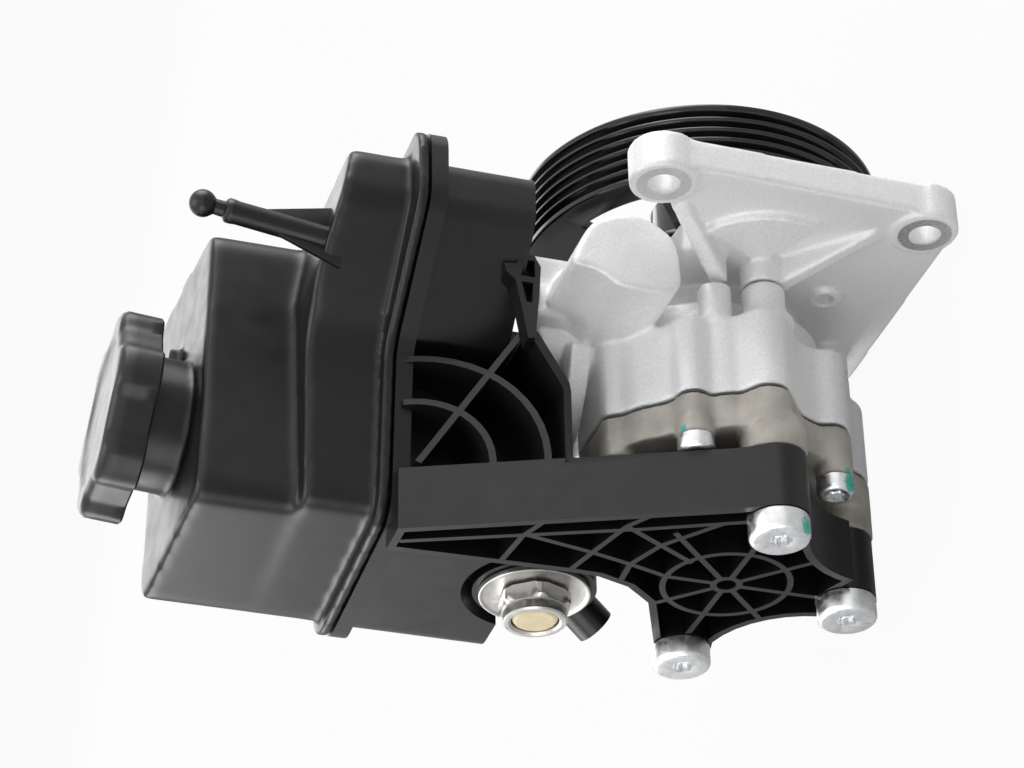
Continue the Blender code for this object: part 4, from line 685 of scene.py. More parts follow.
def flange_ribs():
    front = PLATE_REAR - 3.0 * MM
    return [wedge(*in_millimetres(line), RIB_WIDTH, front, FLANGE_REAR - 0.3 * MM, PLATE_REAR + 0.6 * MM)
            for line in RIB_LINES]


def valve_block():
    """The cast block above the pump: valve boss, valve wall, suction spigot and port arm."""
    block = side_prism(eased(in_millimetres(VALVE_BOSS), 3), VALVE_BOSS_END, VALVE_BOSS_FACE)
    unite(block, upright(VALVE_WALL_RADIUS, VALVE_AXIS, VALVE_FLOOR - 6.0 * MM, VALVE_TOP))
    unite(block, box((PORT_AXIS[0], -PORT_WALL_REAR, PORT_WALL_LOW),
                     (VALVE_AXIS[0], -PORT_WALL_FRONT, PORT_WALL_HIGH)))
    web = eased([(x, -depth) for x, depth in in_millimetres(PORT_WEB)])
    unite(block, prism(web, PORT_WEB_LOW, PORT_WEB_HIGH), suction_boss())
    unite(block, upright(SPIGOT_NOSE, SPIGOT_AXIS, SPIGOT_SHOULDER - 1.0 * MM, SPIGOT_TIP))
    unite(block, post(PORT_ARM_RADIUS, PORT_AXIS, FLUTES_START - 4.0 * MM, PORT_ARM_REAR))
    # clear of the flange's hub, which the boss hangs over
    return cut(block, post(HUB_RADIUS + 1.0 * MM, AXIS, PLATE_FRONT, HOUSING_FRONT + 0.6 * MM, WIDE))


def suction_boss():
    """The socket boss under the reservoir, with a flat towards the near side and a bulge behind."""
    foot = VALVE_BOSS[6][1] * MM
    boss = upright(SUCTION_BOSS_RADIUS, SUCTION_BOSS, foot, SPIGOT_SHOULDER)
    near = SUCTION_FLAT + SUCTION_BOSS_RADIUS
    front, rear = near - SUCTION_BOSS[1], -near - SUCTION_BOSS[1]
    cut(boss, box((SUCTION_FLAT, rear, 0.0), (near, front, SPIGOT_SHOULDER + 1.0 * MM)))
    return unite(boss, upright(SUCTION_BULGE_RADIUS, SUCTION_BULGE, foot, SPIGOT_SHOULDER - 0.4 * MM))


def eased(points, rounds=2):
    """Cut the corners of a closed outline, over and over, until it runs smoothly."""
    for _ in range(rounds):
        smoother = []
        for first, second in zip(points, points[1:] + points[:1]):
            for share in (0.25, 0.75):
                smoother.append(tuple(a + (b - a) * share for a, b in zip(first, second)))
        points = smoother
    return points


def rim_points(inset=0.0):
    outline = [(x, z, 0.0) for x, z in in_millimetres(RIM_NEAR + RIM_FAR)]
    flat = offset(outline, -inset) if inset else outline
    return eased([(x, z) for x, z, _ in flat], 1)


def build_housing():
    housing = deep_prism(rim_points(), FLUTES_START, HOUSING_REAR)
    neck = [(AXIS, HOUSING_NECK, WIDE)] + [(place, COLUMN_RADIUS, SEGMENTS) for place in LONG_SCREWS]
    unite(housing, lobed_block(neck, HOUSING_FRONT, FLUTES_START + 3.0 * MM))
    for place in LONG_SCREWS:
        unite(housing, post(COLUMN_RADIUS, place, SHOULDER_START, FLUTES_START + 0.5 * MM,
                            SEGMENTS, SHOULDER_RADIUS))
    unite(housing, post(SMALL_POST_RADIUS, SMALL_POST, HOUSING_FRONT + SEAT_GAP, FLUTES_START + 1.0 * MM,
                        NARROW + 4))
    unite(housing, valve_block())
    cut(housing, post(CAVITY_RADIUS, AXIS, CAVITY_START, HOUSING_REAR + 1.0 * MM, WIDE))
    cut(housing, post(JOURNAL_RADIUS + 1.0 * MM, AXIS, HOUSING_FRONT - 1.0 * MM,
                      CAVITY_START + 1.0 * MM))
    drill(housing, SLEEVE_BORE, LONG_SCREWS, HOUSING_FRONT, HOUSING_REAR)
    drill(housing, COVER_SHANK + SEAT_GAP, COVER_SCREWS, COVER_TIP, HOUSING_REAR)
    cut(housing, upright(VALVE_BORE, VALVE_AXIS, VALVE_FLOOR, VALVE_TOP + 1.0 * MM))
    cut(housing, upright(SPIGOT_BORE, SPIGOT_AXIS, SPIGOT_FLOOR, SPIGOT_TIP + 1.0 * MM, NARROW))
    drill(housing, UNION_SHANK + SEAT_GAP, [PORT_AXIS], UNION_TIP - 1.0 * MM, PORT_ARM_REAR, SEGMENTS)
    return housing


CAST_VOXEL = 0.7 * MM
CAST_SOFTNESS = 8


def taken(shape):
    """The mesh of a shaping object, which is used up."""
    mesh = shape.data
    bpy.data.objects.remove(shape)
    mesh.materials.clear()
    return mesh


def soften(piece, rounds, group=""):
    """Smooth the piece's skin, all of it or as far as a vertex group says."""
    smooth = piece.modifiers.new("soften", "SMOOTH")
    smooth.factor = 0.5
    smooth.iterations = rounds
    smooth.vertex_group = group
    piece.data = evaluated_mesh(piece)
    piece.modifiers.clear()


def cast_piece(name, shape, slot, material, voxel, softness, *nodes):
    """A casting: every edge and inner corner rounded as a mould leaves it."""
    piece = place_piece(name, taken(shape), "pump_body", slot, material, *nodes)
    skin = piece.modifiers.new("skin", "REMESH")
    skin.mode = "VOXEL"
    skin.voxel_size = voxel
    skin.use_smooth_shade = True
    soften(piece, softness)
    return piece


aluminium = surface("blasted_aluminium", (0.86, 0.86, 0.865), 0.5, 0.3,
                    tones=((0.80, 0.80, 0.805), (0.92, 0.92, 0.92), 1500.0), rough=(0.42, 0.58, 420.0),
                    bumps=[(0.00006, 2200.0, 3.0), (0.00016, 420.0, 5.0)])
cast_piece("housing_casting", build_housing(), "cast_aluminium", aluminium, CAST_VOXEL, CAST_SOFTNESS,
           "pump_housing")
cast_piece("flange_casting", build_front_flange(), "cast_aluminium", aluminium, CAST_VOXEL, CAST_SOFTNESS,
           "front_flange")


# The engine bosses are spot-faced after casting: a bright turned ring round each bolt hole.
SPOT_RADIUS = 7.6 * MM
SPOT_STEP = 0.06 * MM
TURNING = (1600.0, 2.0)


def body_piece(name, shape, slot, material, place, *stands_for):
    """A spun shape moved to its (x, z) on the pump's body."""
    shape.transform(Matrix.Translation((place[0], 0.0, place[1])))
    return place_piece(name, finished(shape, name), "pump_body", slot, material, *stands_for)


face_finish = surface("turned_face", (0.70, 0.70, 0.71), 0.3, 1.0,
                      rough=(0.24, 0.4, *TURNING), bumps=[(0.00001, *TURNING)])
for number, boss in enumerate(ENGINE_BOSSES, 1):
    low, high = BOSS_REAR - 0.6 * MM, BOSS_REAR + SPOT_STEP
    ring = spun([(BOSS_HOLE, low), (BOSS_HOLE, high), (SPOT_RADIUS, high), (SPOT_RADIUS, low)], 96)
    body_piece("spot_face_%d" % number, ring, "cast_aluminium", face_finish, boss)


# Seals: black nitrile rubber, the lip seal round the shaft, the ring under the suction socket
# and the one inside the filler cap. They are moulded, with a dull and slightly dusty skin.
rubber = surface("seal_rubber", (0.02, 0.02, 0.02), 0.7, 0.0,
                 tones=((0.014, 0.014, 0.014), (0.035, 0.034, 0.032), 300.0), bumps=[(0.00003, 1200.0, 3.0)])
dress(rubber, "shaft_seal", "suction_seal", "cap_seal")


# Rear cover: a coarser casting left raw, so it is dull and grey-brown, with its thin pressed
# gasket. Five short screws hold it to the housing. A dab of green paint marks it as inspected.
TAIL_RADIUS = 9.0 * MM
COVER_SEATS = [105.6 * MM] + 4 * [103.2 * MM]
COVER_LOBE = 5.3 * MM
GASKET_INSET = 0.6 * MM
GASKET = 0.4 * MM
COVER_FRONT = HOUSING_REAR + GASKET + 2 * SEAT_GAP
COVER_BODY_REAR = 101.0 * MM
COVER_REAR = 108.2 * MM
COVER_COLUMN_RADIUS = 9.2 * MM
COVER_HUB_RADIUS = 17.0 * MM
COVER_HUB_REAR = 105.5 * MM
SHAFT_LENGTH = COVER_BODY_REAR + 1.0 * MM


def build_gasket():
    front = HOUSING_REAR + SEAT_GAP
    rear = front + GASKET
    gasket = deep_prism(rim_points(GASKET_INSET), front, rear)
    drill(gasket, CAVITY_RADIUS, [AXIS], front, rear, WIDE)
    drill(gasket, SLEEVE_BORE, LONG_SCREWS, front, rear)
    drill(gasket, COVER_SHANK + SEAT_GAP, COVER_SCREWS, front, rear)
    return gasket


def build_rear_cover():
    cover = deep_prism(rim_points(), COVER_FRONT, COVER_BODY_REAR)
    for place in LONG_SCREWS:
        unite(cover, post(COVER_COLUMN_RADIUS, place, COVER_BODY_REAR - 3.0 * MM, COVER_REAR))
        unite(cover, wedge(AXIS, place, 7.0 * MM, COVER_BODY_REAR - 4.0 * MM,
                           COVER_HUB_REAR - 1.0 * MM, COVER_REAR - 1.5 * MM))
    for place, seat in zip(COVER_SCREWS, COVER_SEATS):
        unite(cover, post(COVER_LOBE, place, COVER_BODY_REAR - 3.0 * MM, seat))
    unite(cover, post(COVER_HUB_RADIUS, AXIS, COVER_BODY_REAR - 2.0 * MM, COVER_HUB_REAR))
    bush_outer = TAIL_RADIUS + RUNNING_GAP + BUSH_WALL + SEAT_GAP
    cut(cover, post(bush_outer, AXIS, COVER_FRONT - 1.0 * MM, SHAFT_LENGTH + 1.0 * MM))
    drill(cover, SLEEVE_BORE, LONG_SCREWS, COVER_FRONT, COVER_REAR)
    drill(cover, COVER_SHANK + SEAT_GAP, COVER_SCREWS, COVER_FRONT, COVER_REAR)
    return cover


GREEN_PAINT = (0.05, 0.42, 0.33, 1.0)
COVER_DABS = [((0.0385, -0.1025, 0.0246), 0.0020), ((0.0385, -0.1000, 0.0250), 0.0017),
              ((0.0345, -0.1048, -0.0275), 0.0020)]


def painted(material, dabs):
    """Dabs of inspector's paint, each (place, size), over a finish; paint isn't metallic."""
    tree = material.node_tree
    shader = tree.nodes["Principled BSDF"]
    place = tree.nodes["Texture Coordinate"].outputs["Object"]
    colour = shader.inputs["Base Color"].links[0].from_socket
    metallic = shader.inputs["Metallic"].default_value
    bare = None
    for centre, size in dabs:
        reach = add_node(tree, "ShaderNodeVectorMath", {1: centre}, operation="DISTANCE")
        ragged = add_node(tree, "ShaderNodeMath", {1: size * 1.2}, operation="MULTIPLY_ADD")
        tree.links.new(place, reach.inputs[0])
        tree.links.new(grain(material, 420.0, 5.0), ragged.inputs[0])
        tree.links.new(reach.outputs["Value"], ragged.inputs[2])
        dab = spread(material, ragged.outputs[0], 1.0, 0.0, size * 1.35, size * 1.6)
        paint = add_node(tree, "ShaderNodeMix", {"B": GREEN_PAINT}, data_type="RGBA")
        tree.links.new(dab, paint.inputs["Factor"])
        tree.links.new(colour, paint.inputs["A"])
        colour = paint.outputs["Result"]
        least = add_node(tree, "ShaderNodeMath", {0: metallic}, operation="MINIMUM")
        if bare is not None:
            tree.links.new(bare, least.inputs[0])
        tree.links.new(spread(material, dab, metallic, 0.0, 0.0, 1.0), least.inputs[1])
        bare = least.outputs[0]
    tree.links.new(colour, shader.inputs["Base Color"])
    tree.links.new(bare, shader.inputs["Metallic"])


raw_casting = surface("raw_casting", (0.30, 0.285, 0.255), 0.55, 0.3,
                      tones=((0.36, 0.34, 0.305), (0.52, 0.495, 0.45), 110.0, 5.0), rough=(0.45, 0.66, 500.0),
                      bumps=[(0.00009, 1500.0, 6.0), (0.00012, 380.0, 4.0)])
painted(raw_casting, COVER_DABS)
cast_piece("cover_casting_rough", build_rear_cover(), "cover_casting", raw_casting, CAST_VOXEL, 3,
           "rear_cover")
gasket_sheet = surface("gasket_sheet", (0.10, 0.10, 0.10), 0.7, 0.2, bumps=[(0.00003, 900.0, 3.0)])
place_piece("pressed_gasket", taken(build_gasket()), "pump_body", "gasket_grey", gasket_sheet,
            "cover_gasket")


# Screws: zinc-plated steel, cold headed with a six-lobe socket. Three long ones hold the
# bracket, cover, housing and flange together, five short ones the cover. Inspection leaves a
# dab of green paint on some heads.
BRACKET_REAR = 127.5 * MM
# radius and height of a head
LONG_HEAD = (8.5 * MM, 6.4 * MM)
SHORT_HEAD = (5.25 * MM, 4.7 * MM)
LONG_LOBES = 3.0 * MM
SHORT_LOBES = 2.3 * MM
HEAD_DABS = [((0.0475, -0.1330, -0.0095), 0.0042), ((0.0330, -0.1085, -0.0285), 0.0034),
             ((0.0370, -0.1055, 0.0256), 0.0016)]


def screw_shape(tip, seat, shank, head, lobe):
    """A pan head on a shank: spun, dished, and its socket pressed to six lobes."""
    radius, height = head
    top = seat + height
    floor = top - height * 0.45
    outline = [(0.0, tip), (shank - 0.0004, tip), (shank, tip + 0.0004), (shank, seat), (radius, seat),
               (radius, seat + 0.0004), (radius, top - 0.0013), (radius - 0.0003, top - 0.0006),
               (radius - 0.0008, top - 0.0002), (radius - 0.0015, top), (lobe * 1.34, top - 0.0002),
               (lobe * 1.02, top - 0.0003), (lobe, top - 0.0006), (lobe * 0.96, floor),
               (0.0, floor - lobe * 0.3)]
    shape = spun(outline, 96, closed=False)
    for vert in shape.verts:
        reach = math.hypot(vert.co.x, vert.co.z)
        if lobe * 0.5 < reach < lobe * 1.1 and -vert.co.y > floor - 0.0001:
            press = 1.0 + 0.13 * math.cos(6 * math.atan2(vert.co.z, vert.co.x))
            vert.co.x *= press
            vert.co.z *= press
    return shape


def zinc_plate(name):
    """Bright zinc, clouded by handling."""
    return surface(name, (0.80, 0.81, 0.82), 0.26, 1.0,
                   tones=((0.74, 0.75, 0.76), (0.90, 0.91, 0.92), 260.0), rough=(0.24, 0.40, 600.0),
                   bumps=[(0.00001, 1300.0, 3.0)])


zinc = zinc_plate("zinc_plate")
marked_zinc = zinc_plate("zinc_plate_with_green_dabs")
painted(marked_zinc, HEAD_DABS)
for number, place in enumerate(LONG_SCREWS, 1):
    shape = screw_shape(LONG_TIP, BRACKET_REAR + SEAT_GAP, LONG_SHANK, LONG_HEAD, LONG_LOBES)
    body_piece("bracket_screw_head_%d" % number, shape, "zinc_steel", marked_zinc if number == 1 else zinc,
               place, "bracket_screw_%d" % number)
for number, (place, seat) in enumerate(zip(COVER_SCREWS, COVER_SEATS), 1):
    shape = screw_shape(COVER_TIP, seat + SEAT_GAP, COVER_SHANK, SHORT_HEAD, SHORT_LOBES)
    body_piece("cover_screw_head_%d" % number, shape, "zinc_steel", marked_zinc if number < 3 else zinc,
               place, "cover_screw_%d" % number)
dress(zinc, "bracket_sleeve_1", "bracket_sleeve_2", "bracket_sleeve_3", "valve_plug")


# Pressure union: turned and milled steel with a dull nickel plate, a hexagon and a round
# collar, screwed down on a wide washer with a raised lip. A pale plug keeps dirt out.
WASHER_FRONT = 121.9 * MM
HEX_FRONT = 123.7 * MM
HEX_REAR = 128.5 * MM
HEX_RADIUS = 10.97 * MM
HEX_FLAT = 9.5 * MM
HEX_TURN = 38.0
RING_REAR = 131.9 * MM
RING_RADIUS = 9.2 * MM
PLUG_RADIUS = 6.5 * MM


def washer_shape():
    outline = [(0.0078, WASHER_FRONT), (0.0160, WASHER_FRONT), (0.0160, WASHER_FRONT + 0.0015),
               (0.0153, WASHER_FRONT + 0.0015), (0.0148, WASHER_FRONT + 0.0010),
               (0.0110, WASHER_FRONT + 0.0009), (0.0078, WASHER_FRONT + 0.0014)]
    shape = spun(outline, 144)
    break_edges(shape, 0.00015, 34.0)
    return shape


def union_shape():
    """The hexagon and its collar, with the hexagon's corners turned off at both ends."""
    outline = [(0.0045, 0.0820), (0.0072, 0.0820), (0.0072, HEX_FRONT), (HEX_RADIUS - 0.0010, HEX_FRONT),
               (HEX_RADIUS, HEX_FRONT + 0.0006), (HEX_RADIUS, HEX_REAR - 0.0008),
               (HEX_RADIUS - 0.0012, HEX_REAR), (RING_RADIUS, HEX_REAR), (RING_RADIUS, RING_REAR - 0.0005),
               (RING_RADIUS - 0.0005, RING_REAR),
               (0.0076, RING_REAR), (0.0069, RING_REAR - 0.0006), (0.0069, HEX_FRONT + 0.0005),
               (0.0045, HEX_FRONT + 0.0005)]
    shape = spun(outline, 144)
    for side in range(6):
        turn = math.radians(HEX_TURN + 60.0 * side)
        for vert in shape.verts:
            over = vert.co.x * math.cos(turn) + vert.co.z * math.sin(turn) - HEX_FLAT
            if over > 0.0 and HEX_FRONT - 0.0001 < -vert.co.y < HEX_REAR + 0.0001:
                vert.co.x -= over * math.cos(turn)
                vert.co.z -= over * math.sin(turn)
    return shape


nickel = surface("nickel_plate", (0.56, 0.55, 0.53), 0.34, 1.0,
                 tones=((0.50, 0.49, 0.47), (0.62, 0.61, 0.59), 180.0), rough=(0.28, 0.46, 700.0),
                 bumps=[(0.00002, 1500.0, 3.0)])
body_piece("washer_with_lip", washer_shape(), "zinc_steel", nickel, PORT_AXIS, "union_washer")
body_piece("union_hexagon", union_shape(), "zinc_steel", nickel, PORT_AXIS, "pressure_union")

pale_plastic = surface("plug_plastic", (0.70, 0.60, 0.38), 0.42, 0.0,
                       tones=((0.64, 0.53, 0.32), (0.76, 0.67, 0.45), 260.0), bumps=[(0.00003, 700.0, 2.0)])
soft_light = pale_plastic.node_tree.nodes["Principled BSDF"].inputs
soft_light["Subsurface Weight"].default_value = 0.15
soft_light["Subsurface Radius"].default_value = (0.002, 0.0014, 0.0008)
plug_shape = spun([(0.0, HEX_FRONT + 0.0008), (PLUG_RADIUS, HEX_FRONT + 0.0008),
                   (PLUG_RADIUS, RING_REAR - 0.0013), (PLUG_RADIUS - 0.0006, RING_REAR - 0.0006),
                   (PLUG_RADIUS - 0.0012, RING_REAR - 0.0005), (0.0020, RING_REAR - 0.0008),
                   (0.0, RING_REAR - 0.0008)], 96, closed=False)
body_piece("pale_plug", plug_shape, "plug_plastic", pale_plastic, PORT_AXIS, "transport_plug")


# Reservoir: two halves of glass-filled nylon, injection moulded and welded along the thick
# rim. The lower half carries the ribbed bracket, the upper one the filler neck. The moulds
# leave a satin skin, fine drag lines and a soft round on each edge.
TANK_WALL = 2.5 * MM
TANK_REAR = 123.5 * MM
TANK_NEAR_REAR = 118.0 * MM
BASE_NEAR_REAR = 121.0 * MM
# Outlines in plan: (x, depth, corner radius)
TANK_OUTLINE = [(34.5 * MM, 22.0 * MM, 6.0 * MM), (34.5 * MM, 39.0 * MM, 9.0 * MM),
                (3.6 * MM, 69.0 * MM, 16.0 * MM), (-1.2 * MM, TANK_NEAR_REAR, 6.0 * MM),
                (-66.0 * MM, TANK_REAR, 7.0 * MM), (-66.0 * MM, 24.0 * MM, 12.0 * MM)]
DOME_OUTLINE = [(-6.0 * MM, 30.0 * MM, 7.0 * MM), (-6.0 * MM, TANK_NEAR_REAR, 6.0 * MM),
                (-66.0 * MM, TANK_REAR, 7.0 * MM), (-66.0 * MM, 30.0 * MM, 10.0 * MM)]
BASE_OUTLINE = [(34.5 * MM, 22.0 * MM, 6.0 * MM), (34.5 * MM, 39.0 * MM, 9.0 * MM),
                (6.5 * MM, 66.0 * MM, 5.0 * MM), (-5.0 * MM, 72.0 * MM, 4.0 * MM),
                (-5.0 * MM, BASE_NEAR_REAR, 5.0 * MM), (-66.0 * MM, TANK_REAR, 7.0 * MM),
                (-66.0 * MM, 24.0 * MM, 12.0 * MM)]
RIM_OVERHANG = 3.8 * MM
RIM_ARM = [(42.4 * MM, 16.9 * MM, 8.0 * MM), (42.4 * MM, 42.0 * MM, 10.0 * MM)]
RIM_LOW = 91.0 * MM
SEAM = 96.0 * MM
RIM_HIGH = 99.4 * MM
TANK_TOP = 121.8 * MM
TANK_RIDGE = 54.0 * MM
TANK_FALL_FRONT = 0.166
TANK_FALL_REAR = 0.034
DOME_TOP = 148.5 * MM
DOME_RISE_ACROSS = 0.05
DOME_RISE_REAR = 0.02
TOP_ROUND = 4.2 * MM
BASE_FLOOR = 63.0 * MM
TANK_FLOOR = 68.5 * MM
FOOT_FLOOR = 50.0 * MM
FOOT_START = 48.0 * MM
# Filler neck and cap lean forward, upright once the pump is on the engine
FILLER_LEAN = math.radians(4.5)
FILLER_BASE = (-34.0 * MM, 82.0 * MM)
NECK_RADIUS = 19.3 * MM
NECK_BORE = 16.4 * MM
NECK_HEIGHT = 15.5 * MM
# Ribbed bracket, moulded with the reservoir's lower half
BRACKET_FRONT = 108.5 * MM
BRACKET_FLOOR = 2.4 * MM
BRACKET_RIM = 2.2 * MM
BRACKET_BOSS = 8.9 * MM
BRACKET_TOP = 95.0 * MM
LATTICE_WIDTH = 1.7 * MM
LATTICE_HUB = (0.5 * MM, -2.2 * MM)
LATTICE_RING = 18.0 * MM
LATTICE_HUB_RADIUS = 4.6 * MM
LATTICE_HOLE = 2.8 * MM
SPOKE_REACH = 34.0 * MM
SHORT_SPOKE = 2
SLEEVE_RADIUS = 6.4 * MM
COLLAR_RADIUS = 17.8 * MM
COLLAR_FRONT = 96.2 * MM
COLLAR_REAR = 121.6 * MM
COLLAR_BORE = 7.8 * MM
SCOOP_RADIUS = 21.0 * MM
ARM_CLEARANCE = 15.5 * MM
NIPPLE_START = (-44.0 * MM, 102.5 * MM, 39.5 * MM)
NIPPLE_END = (-52.5 * MM, 117.0 * MM, 18.0 * MM)
NIPPLE_RADIUS = 6.0 * MM
NIPPLE_BORE = 3.8 * MM
SEAL_ROOM = 2.5 * MM
# Gusset ribs between reservoir and bracket, arcs round the corner of the two
GUSSET_CORNER = (108.5 * MM, 92.0 * MM)
GUSSET_RADII = [35.0 * MM, 21.0 * MM]
GUSSET_RIB = 1.8 * MM
GUSSET_FLOOR = -8.0 * MM
GUSSET_TOP = 30.0 * MM
GUSSET_EDGE = 7.6 * MM
GUSSET_SLOPE = 0.415
END_WALL = [(69.0, 62.8), (85.6, 53.2), (87.0, 52.8), (109.5, 52.8), (109.5, 50.6), (87.0, 50.6), (84.2, 51.0),
            (69.0, 59.8)]
END_WALL_NEAR = 24.3 * MM
# The forked rib beside the suction socket, its edge and its two openings (depth, z)
FORK_RIB = [(45.0, 61.0), (45.0, 64.5), (48.6, 66.6), (49.0, 70.0), (51.6, 69.6), (54.2, 66.8), (61.4, 65.4),
            (73.0, 63.4), (72.6, 61.3), (59.6, 60.0), (48.6, 59.2)]
FORK_OPENINGS = [[(46.8, 61.0), (46.8, 64.0), (52.4, 65.2), (52.4, 61.0)],
                 [(54.4, 61.6), (54.4, 65.0), (61.0, 63.8), (61.0, 62.0)]]
FORK_FAR = 20.6 * MM
FORK_NEAR = 26.4 * MM


def pump_point(place):
    """A place given as (x, depth, z)."""
    return Vector((place[0], -place[1], place[2]))


def bar(start, end, width, low, high):
    """A straight rib on the plan plane: from start to end, width across, low to high tall."""
    start, end = Vector(start), Vector(end)
    along, middle = end - start, (start + end) / 2
    straight = box((-along.length / 2, -width / 2, low), (along.length / 2, width / 2, high))
    turn = Matrix.Rotation(math.atan2(along.y, along.x), 4, "Z")
    return moved(straight, Matrix.Translation((middle.x, middle.y, 0.0)) @ turn)


def plan(corners):
    """Turn (x, depth, radius) corners into (x, y, radius)."""
    return [(x, -depth, radius) for x, depth, radius in corners]


def arc_points(centre, radius, first, last, steps=8):
    """Points along an arc between two angles in degrees."""
    angles = [math.radians(first + (last - first) * step / steps) for step in range(steps + 1)]
    return [(centre[0] + radius * math.cos(a), centre[1] + radius * math.sin(a)) for a in angles]


def disc(centre, radius, segments, low, high):
    """A round plug on the plan plane."""
    return prism(arc_points(centre, radius, 0.0, 360.0, segments)[:-1], low, high)


def lower_top(obj, height, drop, ridge=None):
    """Lower the flat top at this height by drop(x, depth), creased across at the ridge's depth."""
    bm = bmesh.new()
    bm.from_mesh(obj.data)
    bm.normal_update()
    if ridge is not None:
        bmesh.ops.bisect_plane(bm, geom=bm.verts[:] + bm.edges[:] + bm.faces[:], dist=0.001 * MM,
                               plane_co=(0.0, -ridge, 0.0), plane_no=(0.0, 1.0, 0.0))
    for vert in bm.verts:
        if vert.co.z > height - 0.01 * MM:
            vert.co.z -= drop(vert.co.x, -vert.co.y)
    bm.normal_update()
    bm.to_mesh(obj.data)
    bm.free()
    return obj


def bevel_top(obj, height, radius, segments=5):
    """Round the edges where the top, all of it above this height, meets the sides."""
    bm = bmesh.new()
    bm.from_mesh(obj.data)
    bm.normal_update()
    edges = []
    for edge in bm.edges:
        if edge.is_manifold and all(vert.co.z > height for vert in edge.verts):
            lean = sorted(face.normal.z for face in edge.link_faces)
            if lean[0] < 0.5 and lean[1] > 0.9:
                edges.append(edge)
    bmesh.ops.bevel(bm, geom=edges, offset=radius, segments=segments, profile=0.5,
                    affect="EDGES", material=-1, clamp_overlap=True)
    bm.to_mesh(obj.data)
    bm.free()
    return obj


def filler_matrix():
    """From the neck's own frame to the part's: leant about its foot on the dome."""
    x, depth = FILLER_BASE
    return Matrix.Translation((x, -depth, DOME_TOP)) @ Matrix.Rotation(-FILLER_LEAN, 4, "X")


def tank_shape(outline, low, high, inset):
    corners = [(x, y, max(radius, TOP_ROUND * 1.15)) for x, y, radius in offset(plan(outline), inset)]
    return prism(rounded(corners), low, high)


def weld_rim(low, high):
    corners = plan(RIM_ARM) + offset(plan(TANK_OUTLINE), RIM_OVERHANG)[2:]
    return prism(rounded(corners), low, high)


def tank_drop(x, depth):
    """How far the tank's top has fallen from its ridge."""
    fall = TANK_FALL_FRONT if depth < TANK_RIDGE else TANK_FALL_REAR
    return fall * abs(depth - TANK_RIDGE)


def dome_drop(x, depth):
    """The dome rises towards the far side and, a little, towards the rear."""
    return DOME_RISE_ACROSS * (x - DOME_OUTLINE[0][0]) + DOME_RISE_REAR * (TANK_REAR - depth)


def tank_and_dome(low, inset):
    """The two raised forms of the upper half, as solids grown or shrunk by inset."""
    height = TANK_TOP + inset
    tank = lower_top(tank_shape(TANK_OUTLINE, low, height, inset), height, tank_drop, TANK_RIDGE)
    height = DOME_TOP + inset
    dome = lower_top(tank_shape(DOME_OUTLINE, low + 2.0 * MM, height, inset), height, dome_drop)
    return tank, dome


def build_reservoir_top():
    weld_face = SEAM + SEAT_GAP / 2
    tank, dome = tank_and_dome(weld_face, 0.0)
    top = bevel_top(tank, RIM_HIGH, TOP_ROUND)
    unite(top, bevel_top(dome, TANK_TOP, TOP_ROUND), weld_rim(weld_face, RIM_HIGH))
    neck = cylinder(NECK_RADIUS, (0.0, 0.0, -6.0 * MM), (0.0, 0.0, NECK_HEIGHT), WIDE)
    unite(top, moved(neck, filler_matrix()))
    tab = side_prism([(56.0 * MM, DOME_TOP - 3.0 * MM), (56.0 * MM, DOME_TOP + 4.0 * MM),
                      (66.0 * MM, DOME_TOP + 4.0 * MM), (66.0 * MM, DOME_TOP - 3.0 * MM)],
                     FILLER_BASE[0] - 1.0 * MM, FILLER_BASE[0] + 1.2 * MM)
    unite(top, tab)
    tank, dome = tank_and_dome(weld_face - 4.0 * MM, -TANK_WALL)
    cut(top, unite(tank, dome))
    bore = cylinder(NECK_BORE, (0.0, 0.0, -12.0 * MM), (0.0, 0.0, NECK_HEIGHT + 2.0 * MM))
    cut(top, moved(bore, filler_matrix()))
    return top


def bracket_outline():
    """The bracket's edge in (x, z): down the slanted arm and round the three screw bosses."""
    s1, s2, s3 = LONG_SCREWS
    r = BRACKET_BOSS
    points = [(-6.0 * MM, BRACKET_TOP), (6.2 * MM, BRACKET_TOP), (41.8 * MM, 10.0 * MM)]
    points += arc_points(s1, r, 20.0, -62.0)
    points += arc_points((41.0 * MM, -41.5 * MM), 28.5 * MM, 101.0, 168.0, 7)
    points += arc_points(s2, r, 30.0, -185.0)
    points += arc_points((-38.5 * MM, -39.5 * MM), 29.0 * MM, 8.0, 80.0, 7)
    points += arc_points(s3, r, -70.0, -215.0)
    return points + in_millimetres([(-15.5, 15.3), (-8.1, 24.0), (-4.6, 34.0), (-4.4, 43.0)])


def lattice_lines():
    """Rib centre lines in (x, z), as (start, end) pairs in millimetres."""
    lines = [((-0.6, 92.7), (12.4, 60.4)), ((12.4, 60.4), (24.4, 30.4)), ((24.4, 30.4), (37.0, 2.0)),
             ((-6.0, 63.0), (11.4, 61.4)), ((11.4, 61.4), (24.0, 57.0)), ((-6.0, 43.5), (7.8, 40.1)),
             ((7.8, 40.1), (24.4, 35.8)), ((24.4, 35.8), (34.0, 30.0)), ((-8.0, 27.0), (4.5, 27.8)),
             ((4.5, 27.8), (16.9, 23.2)), ((16.9, 23.2), (33.0, 11.0)), ((12.4, 60.4), (8.2, 41.0)),
             ((8.2, 41.0), (4.5, 27.8)), ((4.5, 27.8), (0.6, 16.0)), ((24.4, 35.8), (16.7, 23.0)),
             ((16.7, 23.0), (9.8, 11.5))]
    return [in_millimetres(line) for line in lines]


